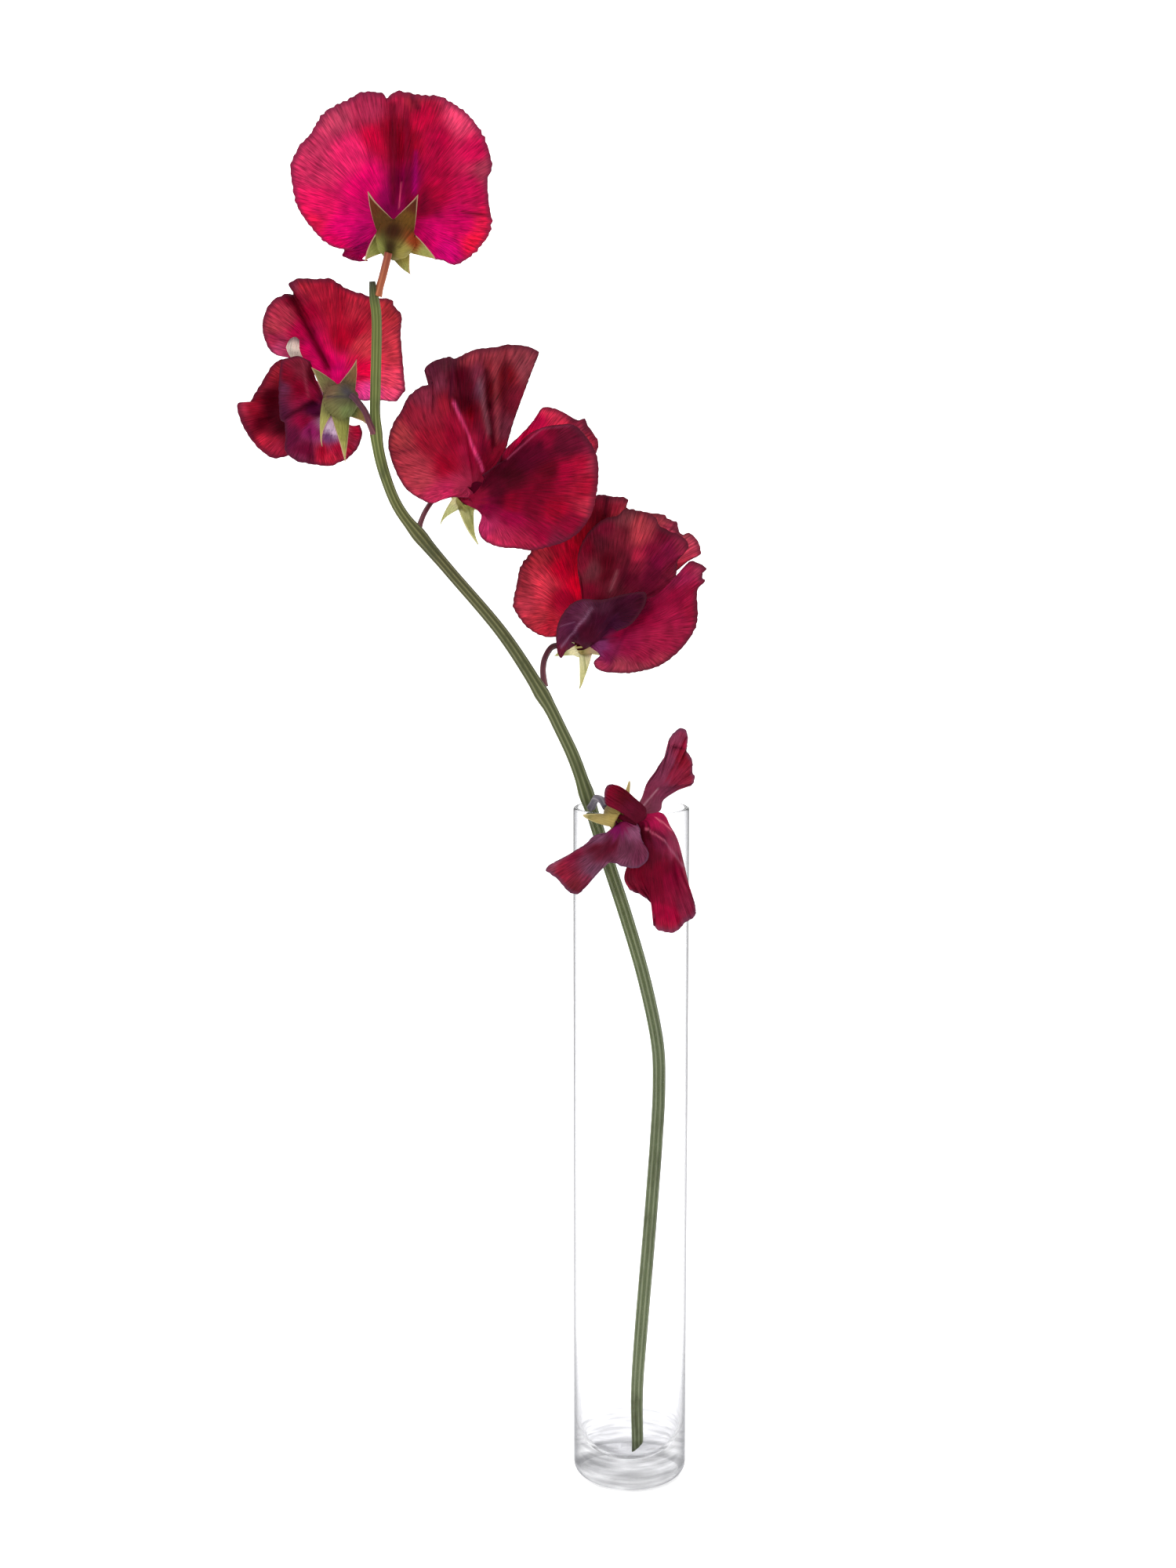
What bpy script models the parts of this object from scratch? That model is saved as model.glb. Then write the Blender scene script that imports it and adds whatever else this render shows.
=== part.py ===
"""A cut sweet pea stem with five blossoms, standing in a slim clear glass tube vase.

Frame: metres, +Z up, +X right, +Y away from the front. The origin is the centre of the vase's flat foot.
Everything below is in millimetres until a mesh or a curve is made, when MM turns it into metres.
"""

import math

import bpy
import numpy as np
from mathutils import Vector

MM = 0.001

# Driving dimensions, in millimetres
VASE_HEIGHT = 150.0
VASE_RADIUS = 12.5
VASE_WALL = 1.2
VASE_FLOOR = 6.5
VASE_HEEL = 2.2
FOOT_RADIUS = 9.6
VASE_SIDES = 56
STEM_SIDES = 2  # bevel_resolution of the round green parts
PETAL_THICKNESS = 0.35
CALYX_THICKNESS = 0.4
# Rows and columns of each kind of petal's grid
PETAL_GRID = dict(standard=(12, 15), wing_left=(10, 9), wing_right=(10, 9), keel=(9, 7))

# The blossoms are laid out on upright planes, and widen or narrow with depth about this point.
FAN_POINT = (-9.3, -445.0, 213.5)

# The stem's centreline from the cut end that rests in the vase to the top, with the radius at each point
STEM = [
    (1.7, -1.0, 8.2, 1.25),
    (1.6, -0.2, 19.0, 1.35),
    (2.6, 1.6, 33.2, 1.4),
    (4.4, 3.6, 54.3, 1.4),
    (6.0, 5.2, 75.4, 1.4),
    (6.5, 5.6, 86.9, 1.4),
    (6.0, 5.4, 96.7, 1.4),
    (3.0, 4.0, 111.0, 1.4),
    (-1.1, 2.0, 125.4, 1.4),
    (-5.6, -0.4, 139.6, 1.35),
    (-9.2, -1.8, 151.5, 1.3),
    (-12.1, -2.0, 160.2, 1.3),
    (-15.2, -1.5, 166.9, 1.3),
    (-18.7, -1.0, 173.6, 1.3),
    (-27.3, 0.0, 186.9, 1.25),
    (-38.4, 0.0, 200.1, 1.2),
    (-44.0, 0.0, 206.7, 1.2),
    (-49.1, 0.0, 213.3, 1.15),
    (-51.9, 0.0, 219.9, 1.1),
    (-53.5, 0.0, 226.4, 1.1),
    (-54.0, 0.0, 232.9, 1.05),
    (-53.8, 0.0, 239.4, 1.05),
    (-53.3, 0.0, 252.2, 1.05),
    (-53.0, 0.0, 258.2, 1.05),
]

# Colour, roughness and metallic value of each material
GREEN = ((0.19, 0.20, 0.07), 0.55, 0.0)
PALE_GREEN = ((0.50, 0.50, 0.22), 0.55, 0.0)
TAN = ((0.42, 0.31, 0.12), 0.7, 0.0)
MAROON_STALK = ((0.18, 0.03, 0.03), 0.55, 0.0)
GLASS = ((0.9, 0.93, 0.94), 0.02, 0.0)


class Blossom:
    """One blossom's layout. Points are (x, depth, z) from its own origin, in millimetres.

    calyx: base point, mouth centre, mouth radius, the mouth's up direction, and five sepal tips that run
    clockwise as seen from the front of the mouth, starting beside its up direction.
    petals: for each petal, its ribs from the claw inside the calyx out to the rim.
    """

    def __init__(self, origin, colour, stalk, stalk_radius, calyx, petals):
        self.origin = origin
        self.colour = colour
        self.stalk = stalk
        self.stalk_radius = stalk_radius
        self.calyx = calyx
        self.petals = petals

    def place(self, point):
        """Moves a point of the layout to the vase's frame, still in millimetres."""
        x, depth, z = (point[i] + self.origin[i] for i in range(3))
        widen = (depth - FAN_POINT[1]) / (self.origin[1] - FAN_POINT[1])
        return Vector(
            (
                FAN_POINT[0] + (x - FAN_POINT[0]) * widen,
                depth,
                FAN_POINT[2] + (z - FAN_POINT[2]) * widen,
            )
        )


TOP = Blossom(
    origin=(-50.8, 0.0, 266.3),
    colour=(0.58, 0.0, 0.10),
    stalk=[(-1.9, 0.0, -7.3), (-1.2, -0.1, -5.0), (-0.5, -0.5, -2.4), (0.0, -0.6, -0.6)],
    stalk_radius=0.8,
    calyx=dict(
        base=(0.2, -0.6, 0.2),
        mouth=(1.7, 3.5, 2.9),
        radius=4.1,
        up=(0.0, -0.3, 0.95),
        tips=[(6.3, 3.0, 11.7), (9.8, 4.2, -1.4), (4.6, 6.2, -4.5), (-4.8, 4.6, -1.8), (-4.0, 3.0, 12.3)],
    ),
    petals=dict(
        standard=[
            [(0.1, 0.0, 2.2), (0.55, -0.1, 2.35), (1.0, -0.2, 2.2)],
            [(0.6, 2.5, 4.6), (1.5, 2.3, 4.8), (2.4, 2.1, 4.6)],
            [(0.0, 5.2, 6.2), (1.5, 4.9, 6.7), (3.2, 5.2, 6.2)],
            [
                (-3.4, 6.4, 3.0),
                (-5.5, 6.2, 6.5),
                (-4.5, 6.0, 12.0),
                (1.5, 5.6, 15.0),
                (7.5, 6.0, 12.0),
                (9.0, 6.2, 6.5),
                (6.6, 6.4, 2.0),
            ],
            [
                (-7.9, 6.4, 0.6),
                (-13.1, 5.4, 2.1),
                (-17.4, 4.2, 7.0),
                (-19.9, 3.6, 14.0),
                (-17.9, 4.2, 21.8),
                (-13.3, 5.0, 27.7),
                (-7.9, 5.6, 30.7),
                (-3.0, 6.4, 32.2),
                (-0.2, 7.4, 31.0),
                (2.4, 5.9, 32.4),
                (7.4, 6.4, 31.6),
                (13.3, 5.4, 30.2),
                (18.9, 4.4, 25.2),
                (21.4, 3.6, 17.5),
                (20.8, 4.6, 12.2),
                (21.6, 3.6, 6.0),
                (17.9, 4.4, -0.2),
                (14.1, 5.4, -2.5),
                (9.8, 6.4, -1.4),
            ],
        ],
        wing_left=[
            [(-0.7, 1.4, 0.8), (-0.75, 1.15, 1.2), (-0.8, 0.9, 1.6)],
            [(-0.5, 4.4, 2.2), (-0.6, 4.3, 3.0), (-0.4, 4.0, 3.8)],
            [(-2.2, 7.6, 1.0), (-2.6, 7.8, 2.6), (-2.0, 8.0, 4.4)],
            [(-5.4, 11.0, -1.2), (-7.6, 13.0, 3.0), (-4.6, 13.0, 8.6)],
            [
                (-5.0, 9.0, -1.9),
                (-9.1, 11.0, -1.0),
                (-9.8, 17.0, 2.0),
                (-8.0, 23.0, 6.0),
                (-4.4, 24.0, 10.0),
                (-2.6, 18.0, 11.6),
                (-2.4, 13.0, 8.6),
            ],
        ],
        wing_right=[
            [(2.1, 0.5, 0.5), (2.1, 0.3, 0.9), (2.05, 0.1, 1.3)],
            [(3.9, 3.2, 1.9), (3.9, 3.0, 2.7), (3.7, 2.7, 3.4)],
            [(5.2, 7.6, 1.4), (5.6, 7.8, 2.8), (5.0, 8.0, 4.4)],
            [(8.6, 11.0, 0.2), (10.4, 13.0, 3.4), (7.6, 13.0, 8.8)],
            [
                (8.4, 9.6, 0.6),
                (12.0, 11.4, 1.0),
                (12.8, 17.0, 3.2),
                (11.0, 23.0, 6.4),
                (7.4, 24.0, 10.2),
                (5.6, 18.0, 11.8),
                (5.4, 13.0, 8.8),
            ],
        ],
        keel=[
            [(0.4, 1.6, -0.1), (0.8, 1.5, -0.3), (1.2, 1.4, -0.1)],
            [(1.2, 4.7, 1.4), (1.9, 4.6, 1.0), (2.5, 4.4, 1.4)],
            [(0.4, 7.6, 2.2), (1.6, 8.0, 0.8), (2.9, 7.6, 2.2)],
            [(0.0, 14.0, 5.4), (1.6, 14.4, 1.4), (3.3, 14.0, 5.4)],
            [(1.0, 19.0, 8.4), (1.6, 20.0, 6.4), (2.3, 19.0, 8.4)],
        ],
    ),
)

LEFT = Blossom(
    origin=(-60.6, 0.0, 236.9),
    colour=(0.44, 0.0, 0.03),
    stalk=[(5.3, -1.7, -6.0), (4.4, -2.9, -3.2), (2.9, -3.6, -1.0), (1.9, -3.3, 0.1)],
    stalk_radius=0.65,
    calyx=dict(
        base=(1.5, -2.8, 0.3),
        mouth=(-0.8, 1.5, -1.2),
        radius=3.6,
        up=(-0.1, 0.25, 0.95),
        tips=[(2.9, 3.6, 7.6), (4.7, 2.6, -5.8), (0.2, 0.4, -13.6), (-4.6, -1.0, -10.4), (-6.6, 1.6, 5.9)],
    ),
    petals=dict(
        standard=[
            [(0.2, -1.3, 0.8), (0.65, -1.1, 1.0), (1.1, -0.9, 0.8)],
            [(-1.7, 1.7, 0.4), (-1.0, 1.9, 0.6), (-0.3, 2.2, 0.4)],
            [(-2.4, 4.6, 2.4), (-1.2, 4.8, 2.8), (0.2, 5.0, 2.4)],
            [
                (-5.0, 5.4, 8.0),
                (-6.5, 5.2, 11.0),
                (-5.0, 6.4, 14.5),
                (-1.0, 6.6, 13.0),
                (3.0, 6.6, 11.0),
                (5.5, 6.4, 7.0),
                (3.6, 6.4, 2.0),
            ],
            [
                (-11.3, 5.0, 8.2),
                (-14.6, 3.6, 8.9),
                (-16.5, 2.6, 12.8),
                (-15.8, 3.0, 17.7),
                (-11.8, 4.6, 20.9),
                (-9.8, 6.4, 20.7),
                (-10.6, 4.6, 23.4),
                (-5.3, 7.0, 24.1),
                (-0.7, 8.0, 23.1),
                (3.9, 8.0, 21.1),
                (10.4, 7.4, 19.8),
                (12.4, 6.2, 16.6),
                (12.4, 5.2, 10.0),
                (13.0, 4.6, 1.2),
                (11.0, 4.6, -1.1),
                (3.6, 6.2, -0.9),
            ],
        ],
        wing_left=[
            [(-0.2, -2.0, -1.1), (-0.35, -1.9, -0.6), (-0.4, -1.7, -0.1)],
            [(-2.4, 0.4, -2.4), (-2.6, 0.5, -1.7), (-2.6, 0.6, -1.0)],
            [(-1.6, 4.6, -4.0), (-2.6, 4.4, -3.2), (-3.2, 4.2, -2.0)],
            [
                (1.5, 5.4, -6.0),
                (-1.0, 5.2, -9.0),
                (-5.0, 3.8, -9.5),
                (-8.5, 1.5, -7.0),
                (-9.0, 0.8, -1.0),
                (-8.0, 1.6, 4.0),
                (-5.4, 3.4, 2.6),
            ],
            [
                (3.4, 5.6, -5.9),
                (3.8, 5.4, -8.0),
                (0.6, 5.0, -13.0),
                (-2.9, 4.0, -14.5),
                (-10.1, 0.5, -13.4),
                (-12.3, -1.0, -11.0),
                (-12.6, -2.0, -5.5),
                (-13.3, -2.0, 0.0),
                (-13.3, -1.4, 4.0),
                (-12.5, 0.0, 7.4),
                (-9.5, 2.0, 7.6),
                (-6.8, 3.0, 6.2),
            ],
        ],
        wing_right=[
            [(1.9, -1.0, -1.1), (1.8, -0.9, -0.6), (1.75, -0.8, -0.1)],
            [(0.8, 2.1, -2.2), (0.8, 2.3, -1.5), (0.8, 2.4, -0.8)],
            [(-1.2, 8.4, -3.0), (-1.6, 8.6, -1.4), (-1.6, 8.6, 0.2)],
            [(-9.0, 12.0, -9.0), (-12.0, 12.4, -4.0), (-12.0, 12.4, 0.0), (-9.0, 12.4, 4.6)],
            [
                (-10.5, 11.0, -12.0),
                (-14.7, 10.0, -12.9),
                (-18.2, 9.6, -10.5),
                (-21.4, 9.0, -5.6),
                (-22.2, 9.0, -1.8),
                (-19.7, 11.0, -1.3),
                (-17.3, 11.6, 2.4),
                (-14.4, 12.0, 6.6),
                (-11.0, 12.4, 7.4),
            ],
        ],
        keel=[
            [(1.3, -1.5, -1.25), (0.9, -1.7, -1.45), (0.5, -1.8, -1.25)],
            [(-0.2, 1.4, -2.4), (-0.65, 1.1, -2.8), (-1.1, 1.0, -2.4)],
            [(-1.4, 6.4, -0.6), (-1.8, 6.6, -1.4), (-2.3, 6.2, -0.4)],
            [(-6.2, 5.6, 4.0), (-7.4, 5.4, 2.2), (-7.6, 4.4, 4.2)],
            [(-9.0, 3.4, 9.2), (-10.2, 3.0, 8.4), (-11.2, 2.6, 9.6)],
            [(-9.4, 2.8, 11.6), (-10.2, 2.6, 12.0), (-10.9, 2.4, 11.4)],
        ],
    ),
)

MIDDLE = Blossom(
    origin=(-35.4, 0.0, 216.3),
    colour=(0.30, 0.01, 0.03),
    stalk=[(-9.6, 1.2, -5.4), (-8.0, 2.6, -3.0), (-6.0, 5.2, -0.4), (-3.6, 7.4, 1.0), (-2.0, 7.8, 1.3)],
    stalk_radius=0.55,
    calyx=dict(
        base=(-1.4, 7.6, 1.2),
        mouth=(1.0, 4.4, -0.3),
        radius=3.4,
        up=(0.1, -0.1, 0.97),
        tips=[(-3.4, 7.4, 7.0), (-5.1, 5.4, -6.2), (2.9, 2.2, -10.3), (4.4, 2.6, -3.6), (3.6, 6.6, 7.4)],
    ),
    petals=dict(
        standard=[
            [(-0.8, 6.0, 1.8), (-0.35, 6.2, 1.9), (0.1, 6.5, 1.8)],
            [(0.8, 3.6, 1.0), (1.4, 3.9, 1.3), (2.0, 4.2, 1.1)],
            [(0.6, 1.4, 1.6), (1.8, 1.6, 2.3), (3.0, 1.6, 2.0)],
            [
                (-2.4, 0.6, 0.4),
                (-6.0, 0.8, 2.6),
                (-8.0, 1.2, 9.0),
                (-4.5, 1.2, 16.0),
                (-1.0, 0.2, 16.5),
                (1.0, 2.8, 17.0),
                (4.0, 2.2, 17.0),
                (7.0, 3.0, 16.5),
                (8.8, 2.8, 12.0),
                (8.4, 2.4, 9.6),
            ],
            [
                (-2.5, 0.4, -0.4),
                (-7.0, 0.4, -1.7),
                (-12.0, 0.6, 1.1),
                (-14.8, 1.4, 6.0),
                (-15.9, 1.8, 11.0),
                (-14.5, 1.8, 15.5),
                (-11.7, 1.4, 20.3),
                (-6.9, 1.0, 23.6),
                (-7.8, 2.4, 26.2),
                (-4.8, 3.4, 28.3),
                (-1.8, 0.6, 28.3),
                (1.6, 3.4, 29.9),
                (6.8, 4.8, 30.7),
                (11.4, 4.6, 31.1),
                (15.9, 3.2, 29.6),
                (12.7, 3.0, 21.5),
                (9.7, 2.6, 12.8),
            ],
        ],
        wing_left=[
            [(0.1, 7.4, 0.0), (0.2, 7.3, 0.4), (0.2, 7.2, 0.9)],
            [(2.4, 5.7, -1.2), (2.5, 5.6, -0.6), (2.5, 5.5, 0.0)],
            [(4.2, 1.0, -1.0), (4.6, 1.0, 0.6), (4.6, 1.0, 2.0)],
            [(10.0, -0.6, -3.0), (13.0, -0.8, 3.0), (11.0, 0.4, 8.5)],
            [
                (11.0, -1.2, -6.5),
                (18.0, -3.0, -6.0),
                (24.0, -5.0, -1.0),
                (26.5, -6.0, 6.0),
                (28.2, -6.4, 10.8),
                (26.0, -5.8, 14.6),
                (22.1, -4.0, 16.6),
                (16.5, -1.5, 18.2),
                (11.2, 0.3, 11.9),
            ],
        ],
        wing_right=[
            [(-1.7, 6.1, 0.0), (-1.6, 6.0, 0.4), (-1.5, 5.9, 0.9)],
            [(-0.6, 3.4, -1.2), (-0.6, 3.3, -0.6), (-0.5, 3.2, 0.0)],
            [(2.0, 0.0, -2.6), (1.8, -0.2, -1.2), (2.2, -0.2, 0.4)],
            [(5.0, -3.1, -6.5), (9.0, -6.0, -5.5), (14.0, -8.6, 1.0), (13.0, -7.8, 7.0), (7.6, -3.9, 4.6)],
            [
                (3.9, -1.0, -3.8),
                (3.0, -1.3, -6.7),
                (5.1, -2.3, -10.0),
                (11.0, -4.7, -11.1),
                (18.5, -8.1, -10.6),
                (24.5, -11.7, -7.4),
                (27.5, -14.3, -1.5),
                (28.3, -14.6, 5.0),
                (27.3, -13.5, 9.8),
                (23.2, -10.9, 14.8),
                (16.4, -7.3, 14.0),
                (9.2, -3.6, 7.7),
            ],
        ],
        keel=[
            [(-1.3, 6.6, -0.3), (-0.9, 6.9, -0.5), (-0.5, 7.1, -0.3)],
            [(0.2, 4.5, -1.6), (0.6, 4.8, -2.0), (1.0, 5.1, -1.6)],
            [(3.2, 0.4, -2.2), (3.8, 0.4, -2.8), (4.0, 0.5, -2.0)],
            [(8.0, -3.2, 1.6), (8.5, -2.8, -2.9), (9.0, -2.2, 1.6)],
            [(12.5, -3.8, 6.3), (13.6, -3.6, 4.8), (13.2, -3.2, 6.3)],
        ],
    ),
)

RIGHT = Blossom(
    origin=(-10.6, 0.0, 185.2),
    colour=(0.46, 0.01, 0.02),
    stalk=[(-8.2, 1.0, -7.4), (-8.3, 1.8, -5.4), (-7.8, 3.0, -3.0), (-6.2, 5.0, -0.8), (-3.6, 6.6, -0.6)],
    stalk_radius=0.65,
    calyx=dict(
        base=(-2.8, 6.6, -0.6),
        mouth=(0.4, 3.6, 0.2),
        radius=3.2,
        up=(-0.25, 0.27, 0.93),
        tips=[(-3.4, 7.0, 6.4), (-5.9, 3.4, -2.8), (-0.5, 1.4, -9.8), (3.6, 1.8, -2.6), (3.0, 6.6, 7.2)],
    ),
    petals=dict(
        standard=[
            [(-2.2, 5.4, 0.7), (-1.9, 5.8, 0.8), (-1.6, 6.1, 0.7)],
            [(-0.2, 3.4, 1.6), (0.2, 3.8, 1.8), (0.6, 4.2, 1.6)],
            [(-0.6, 0.8, 2.4), (0.8, 1.8, 3.4), (2.0, 2.0, 3.2)],
            [
                (-4.5, -0.4, 2.4),
                (-7.0, 1.2, 6.0),
                (-6.5, 3.0, 12.0),
                (-2.0, 4.8, 17.0),
                (3.0, 5.4, 19.0),
                (8.0, 5.6, 19.0),
                (13.0, 5.2, 18.0),
                (16.0, 4.6, 14.0),
                (14.0, 3.6, 11.0),
            ],
            [
                (-5.5, -0.4, 1.4),
                (-10.0, 1.2, 2.2),
                (-13.6, 2.4, 5.8),
                (-14.5, 3.6, 9.8),
                (-13.5, 4.2, 14.3),
                (-11.2, 4.8, 18.7),
                (-8.0, 5.2, 23.5),
                (-3.0, 5.8, 27.5),
                (2.6, 6.4, 30.8),
                (5.6, 7.0, 31.0),
                (9.6, 7.0, 30.0),
                (9.8, 6.8, 28.5),
                (14.8, 6.4, 27.4),
                (18.2, 6.0, 26.2),
                (20.5, 5.8, 23.6),
                (23.0, 5.4, 23.1),
                (25.1, 5.0, 19.8),
                (22.5, 4.6, 17.4),
                (18.0, 4.0, 13.4),
            ],
        ],
        wing_left=[
            [(-2.5, 4.9, -0.8), (-2.5, 4.9, -0.3), (-2.5, 4.9, 0.2)],
            [(-0.8, 2.4, -0.1), (-0.8, 2.4, 0.4), (-0.8, 2.4, 0.9)],
            [(0.6, -0.6, 2.2), (1.2, -0.4, 3.2), (2.2, -0.2, 3.8)],
            [(0.4, 0.4, 12.0), (5.0, -0.6, 14.0), (10.0, -0.6, 14.0), (15.0, -0.8, 12.0)],
            [
                (-0.8, 0.8, 15.0),
                (-0.8, 0.8, 18.5),
                (2.6, 0.8, 24.6),
                (7.5, 1.0, 26.6),
                (11.5, 1.0, 27.0),
                (16.3, 0.8, 24.5),
                (21.0, 0.4, 22.6),
                (22.5, 0.0, 19.8),
                (20.0, -0.6, 17.0),
                (19.4, -1.2, 11.6),
            ],
        ],
        wing_right=[
            [(-1.1, 6.3, -0.8), (-1.1, 6.3, -0.3), (-1.1, 6.4, 0.2)],
            [(1.5, 4.8, -0.5), (1.6, 4.8, 0.1), (1.6, 4.8, 0.7)],
            [(3.6, 0.4, -0.6), (4.4, 0.0, 0.4), (4.4, -0.2, 1.4)],
            [(6.0, -2.2, -4.0), (11.0, -4.5, -2.0), (16.0, -6.2, 3.0), (17.5, -6.2, 8.0), (12.6, -3.1, 7.0)],
            [
                (4.4, -0.8, -2.7),
                (2.8, -1.4, -4.9),
                (7.4, -3.4, -6.4),
                (14.5, -6.7, -5.6),
                (20.0, -9.5, -2.4),
                (24.2, -10.9, 3.4),
                (24.4, -10.6, 9.5),
                (26.0, -10.9, 13.1),
                (25.5, -10.6, 15.2),
                (22.5, -8.4, 16.6),
                (19.0, -5.6, 10.5),
            ],
        ],
        keel=[
            [(-1.3, 5.8, -1.4), (-1.65, 5.5, -1.5), (-2.0, 5.2, -1.4)],
            [(0.9, 3.7, -1.1), (0.55, 3.4, -1.3), (0.2, 3.0, -1.1)],
            [(2.0, -1.4, 0.7), (1.6, -1.4, 0.9), (1.2, -1.2, 0.6)],
            [(6.0, -4.2, 3.2), (8.0, -5.5, 7.0), (2.4, -4.7, 6.0), (-1.8, -4.2, 3.8), (-2.4, -3.6, 0.2)],
            [
                (9.0, -5.2, 3.2),
                (13.3, -6.8, 7.9),
                (13.5, -6.8, 10.5),
                (9.0, -6.2, 10.3),
                (0.4, -5.2, 9.3),
                (-3.5, -4.7, 7.0),
                (-5.4, -4.2, 1.0),
                (-4.5, -3.9, -3.0),
                (-1.6, -3.1, -0.9),
            ],
        ],
    ),
)

WITHERED = Blossom(
    origin=(-4.1, -15.0, 151.6),
    colour=(0.17, 0.01, 0.03),
    stalk=[(-4.1, 11.0, 1.1), (-3.5, 7.0, 2.3), (-2.4, 3.0, 1.9), (-1.8, 1.2, 0.7)],
    stalk_radius=0.6,
    calyx=dict(
        base=(-1.5, 0.7, 0.2),
        mouth=(1.6, -0.6, -1.8),
        radius=2.8,
        up=(0.5, 0.0, 0.85),
        tips=[(4.2, 0.2, 5.2), (-6.2, -1.2, -1.2), (-1.8, 0.4, -5.4), (4.2, 1.6, -6.0), (9.6, 1.6, 0.4)],
    ),
    petals=dict(
        standard=[
            [(-0.1, -0.1, 0.4), (0.0, 0.3, 0.3), (0.1, 0.6, 0.2)],
            [(2.2, -1.0, -0.6), (2.3, -0.6, -0.7), (2.4, -0.2, -0.8)],
            [(6.0, -1.4, 1.2), (7.2, -1.2, 0.6), (8.8, -1.2, 0.0)],
            [(8.5, -1.4, 7.5), (10.5, -2.6, 6.5), (12.0, -1.4, 2.9)],
            [
                (11.4, -1.4, 12.2),
                (11.8, -0.9, 15.0),
                (14.2, -1.6, 17.0),
                (15.3, -2.2, 13.0),
                (16.2, -2.6, 10.0),
                (16.9, -1.8, 6.5),
                (16.4, -1.0, 5.2),
                (13.9, -0.8, 4.5),
            ],
        ],
        wing_left=[
            [(-1.1, -0.2, -1.2), (-1.0, 0.1, -1.3), (-0.9, 0.4, -1.3)],
            [(0.7, -1.3, -2.7), (0.8, -0.9, -2.9), (0.9, -0.5, -3.0)],
            [(1.0, -3.0, -4.8), (2.4, -3.2, -4.6), (4.0, -3.0, -4.4)],
            [(-4.0, -3.4, -6.4), (-1.5, -3.8, -8.8), (2.0, -4.4, -9.0), (5.0, -4.4, -7.0)],
            [
                (-13.6, -3.0, -12.2),
                (-13.0, -3.2, -13.8),
                (-8.2, -3.8, -17.9),
                (-4.5, -3.6, -14.9),
                (-2.0, -3.4, -12.0),
                (2.3, -4.2, -12.2),
                (5.1, -4.8, -12.3),
                (7.3, -5.0, -10.0),
                (5.8, -4.4, -6.8),
            ],
        ],
        wing_right=[
            [(-0.3, 1.1, -0.9), (-0.25, 1.1, -0.6), (-0.2, 1.1, -0.3)],
            [(2.0, 0.6, -2.4), (2.0, 0.6, -2.0), (2.0, 0.6, -1.6)],
            [(6.6, -2.4, -3.2), (8.0, -1.8, -2.4), (9.2, -1.2, -1.4)],
            [(3.4, -2.2, -13.0), (8.0, -3.6, -12.5), (13.0, -3.6, -12.0), (14.8, -1.2, -11.5)],
            [
                (3.6, -2.2, -17.1),
                (8.6, -3.0, -20.3),
                (9.0, -3.0, -22.0),
                (9.0, -3.2, -25.0),
                (13.2, -4.2, -26.0),
                (15.2, -3.6, -23.9),
                (17.2, -2.2, -22.0),
                (16.6, -1.2, -18.5),
            ],
        ],
        keel=[
            [(-0.8, -0.5, -0.7), (-0.75, -0.6, -0.4), (-0.8, -0.6, -0.1)],
            [(1.2, -1.8, -2.0), (1.3, -1.8, -1.6), (1.3, -1.8, -1.2)],
            [(5.0, -4.0, -2.4), (5.5, -4.2, -1.4), (5.4, -3.8, -0.3)],
            [(0.5, -4.4, 0.6), (1.2, -5.0, 2.0), (2.2, -4.2, 3.8)],
            [(-1.7, -3.8, 1.4), (-1.9, -4.2, 3.2), (-0.6, -3.8, 5.2)],
        ],
    ),
)

BLOSSOMS = dict(f1=TOP, f2=LEFT, f3=MIDDLE, f4=RIGHT, f5=WITHERED)


def clear_scene():
    for obj in list(bpy.data.objects):
        bpy.data.objects.remove(obj)


def material(name, colour, roughness, metallic):
    made = bpy.data.materials.new(name)
    made.use_nodes = True
    shader = made.node_tree.nodes["Principled BSDF"]
    shader.inputs["Base Color"].default_value = (*colour, 1.0)
    shader.inputs["Roughness"].default_value = roughness
    shader.inputs["Metallic"].default_value = metallic
    return made


def add_object(name, data, finish):
    obj = bpy.data.objects.new(name, data)
    bpy.context.collection.objects.link(obj)
    data.materials.append(material(name, *finish))
    return obj


def mesh_object(name, points, faces, finish):
    mesh = bpy.data.meshes.new(name)
    mesh.from_pydata([tuple(float(c) * MM for c in point) for point in points], [], faces)
    mesh.validate()
    mesh.shade_smooth()
    return add_object(name, mesh, finish)


def thicken(obj, thickness):
    """Turns an open sheet into a closed shell, half of it on each side."""
    shell = obj.modifiers.new("Shell", "SOLIDIFY")
    shell.thickness = thickness * MM
    shell.offset = 0.0


def tube(name, points, radii, finish):
    """A round rod along the points, in millimetres, closed at both ends."""
    curve = bpy.data.curves.new(name, "CURVE")
    curve.dimensions = "3D"
    curve.bevel_depth = MM
    curve.bevel_resolution = STEM_SIDES
    curve.use_fill_caps = True
    spline = curve.splines.new("POLY")
    spline.points.add(len(points) - 1)
    for place, point, radius in zip(spline.points, points, radii):
        place.co = (*(c * MM for c in point), 1.0)
        place.radius = radius
    return add_object(name, curve, finish)


def through(points, count):
    """A smooth curve through the points, read at count places that are evenly spaced along it."""
    points = np.array(points, float)
    ends = [2 * points[0] - points[1], 2 * points[-1] - points[-2]]
    held = np.vstack([ends[0], points, ends[1]])
    fine = []
    for k in range(len(points) - 1):
        a, b, c, d = held[k : k + 4]
        for t in np.linspace(0, 1, 12, endpoint=False):
            fine.append(
                0.5 * (2 * b + (c - a) * t + (2 * a - 5 * b + 4 * c - d) * t**2 + (3 * b - a - 3 * c + d) * t**3)
            )
    fine = np.array(fine + [points[-1]])
    run = np.concatenate([[0], np.cumsum(np.linalg.norm(np.diff(fine, axis=0), axis=1))])
    stops = np.linspace(0, run[-1], count)
    return np.stack([np.interp(stops, run, column) for column in fine.T], axis=1)


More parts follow.
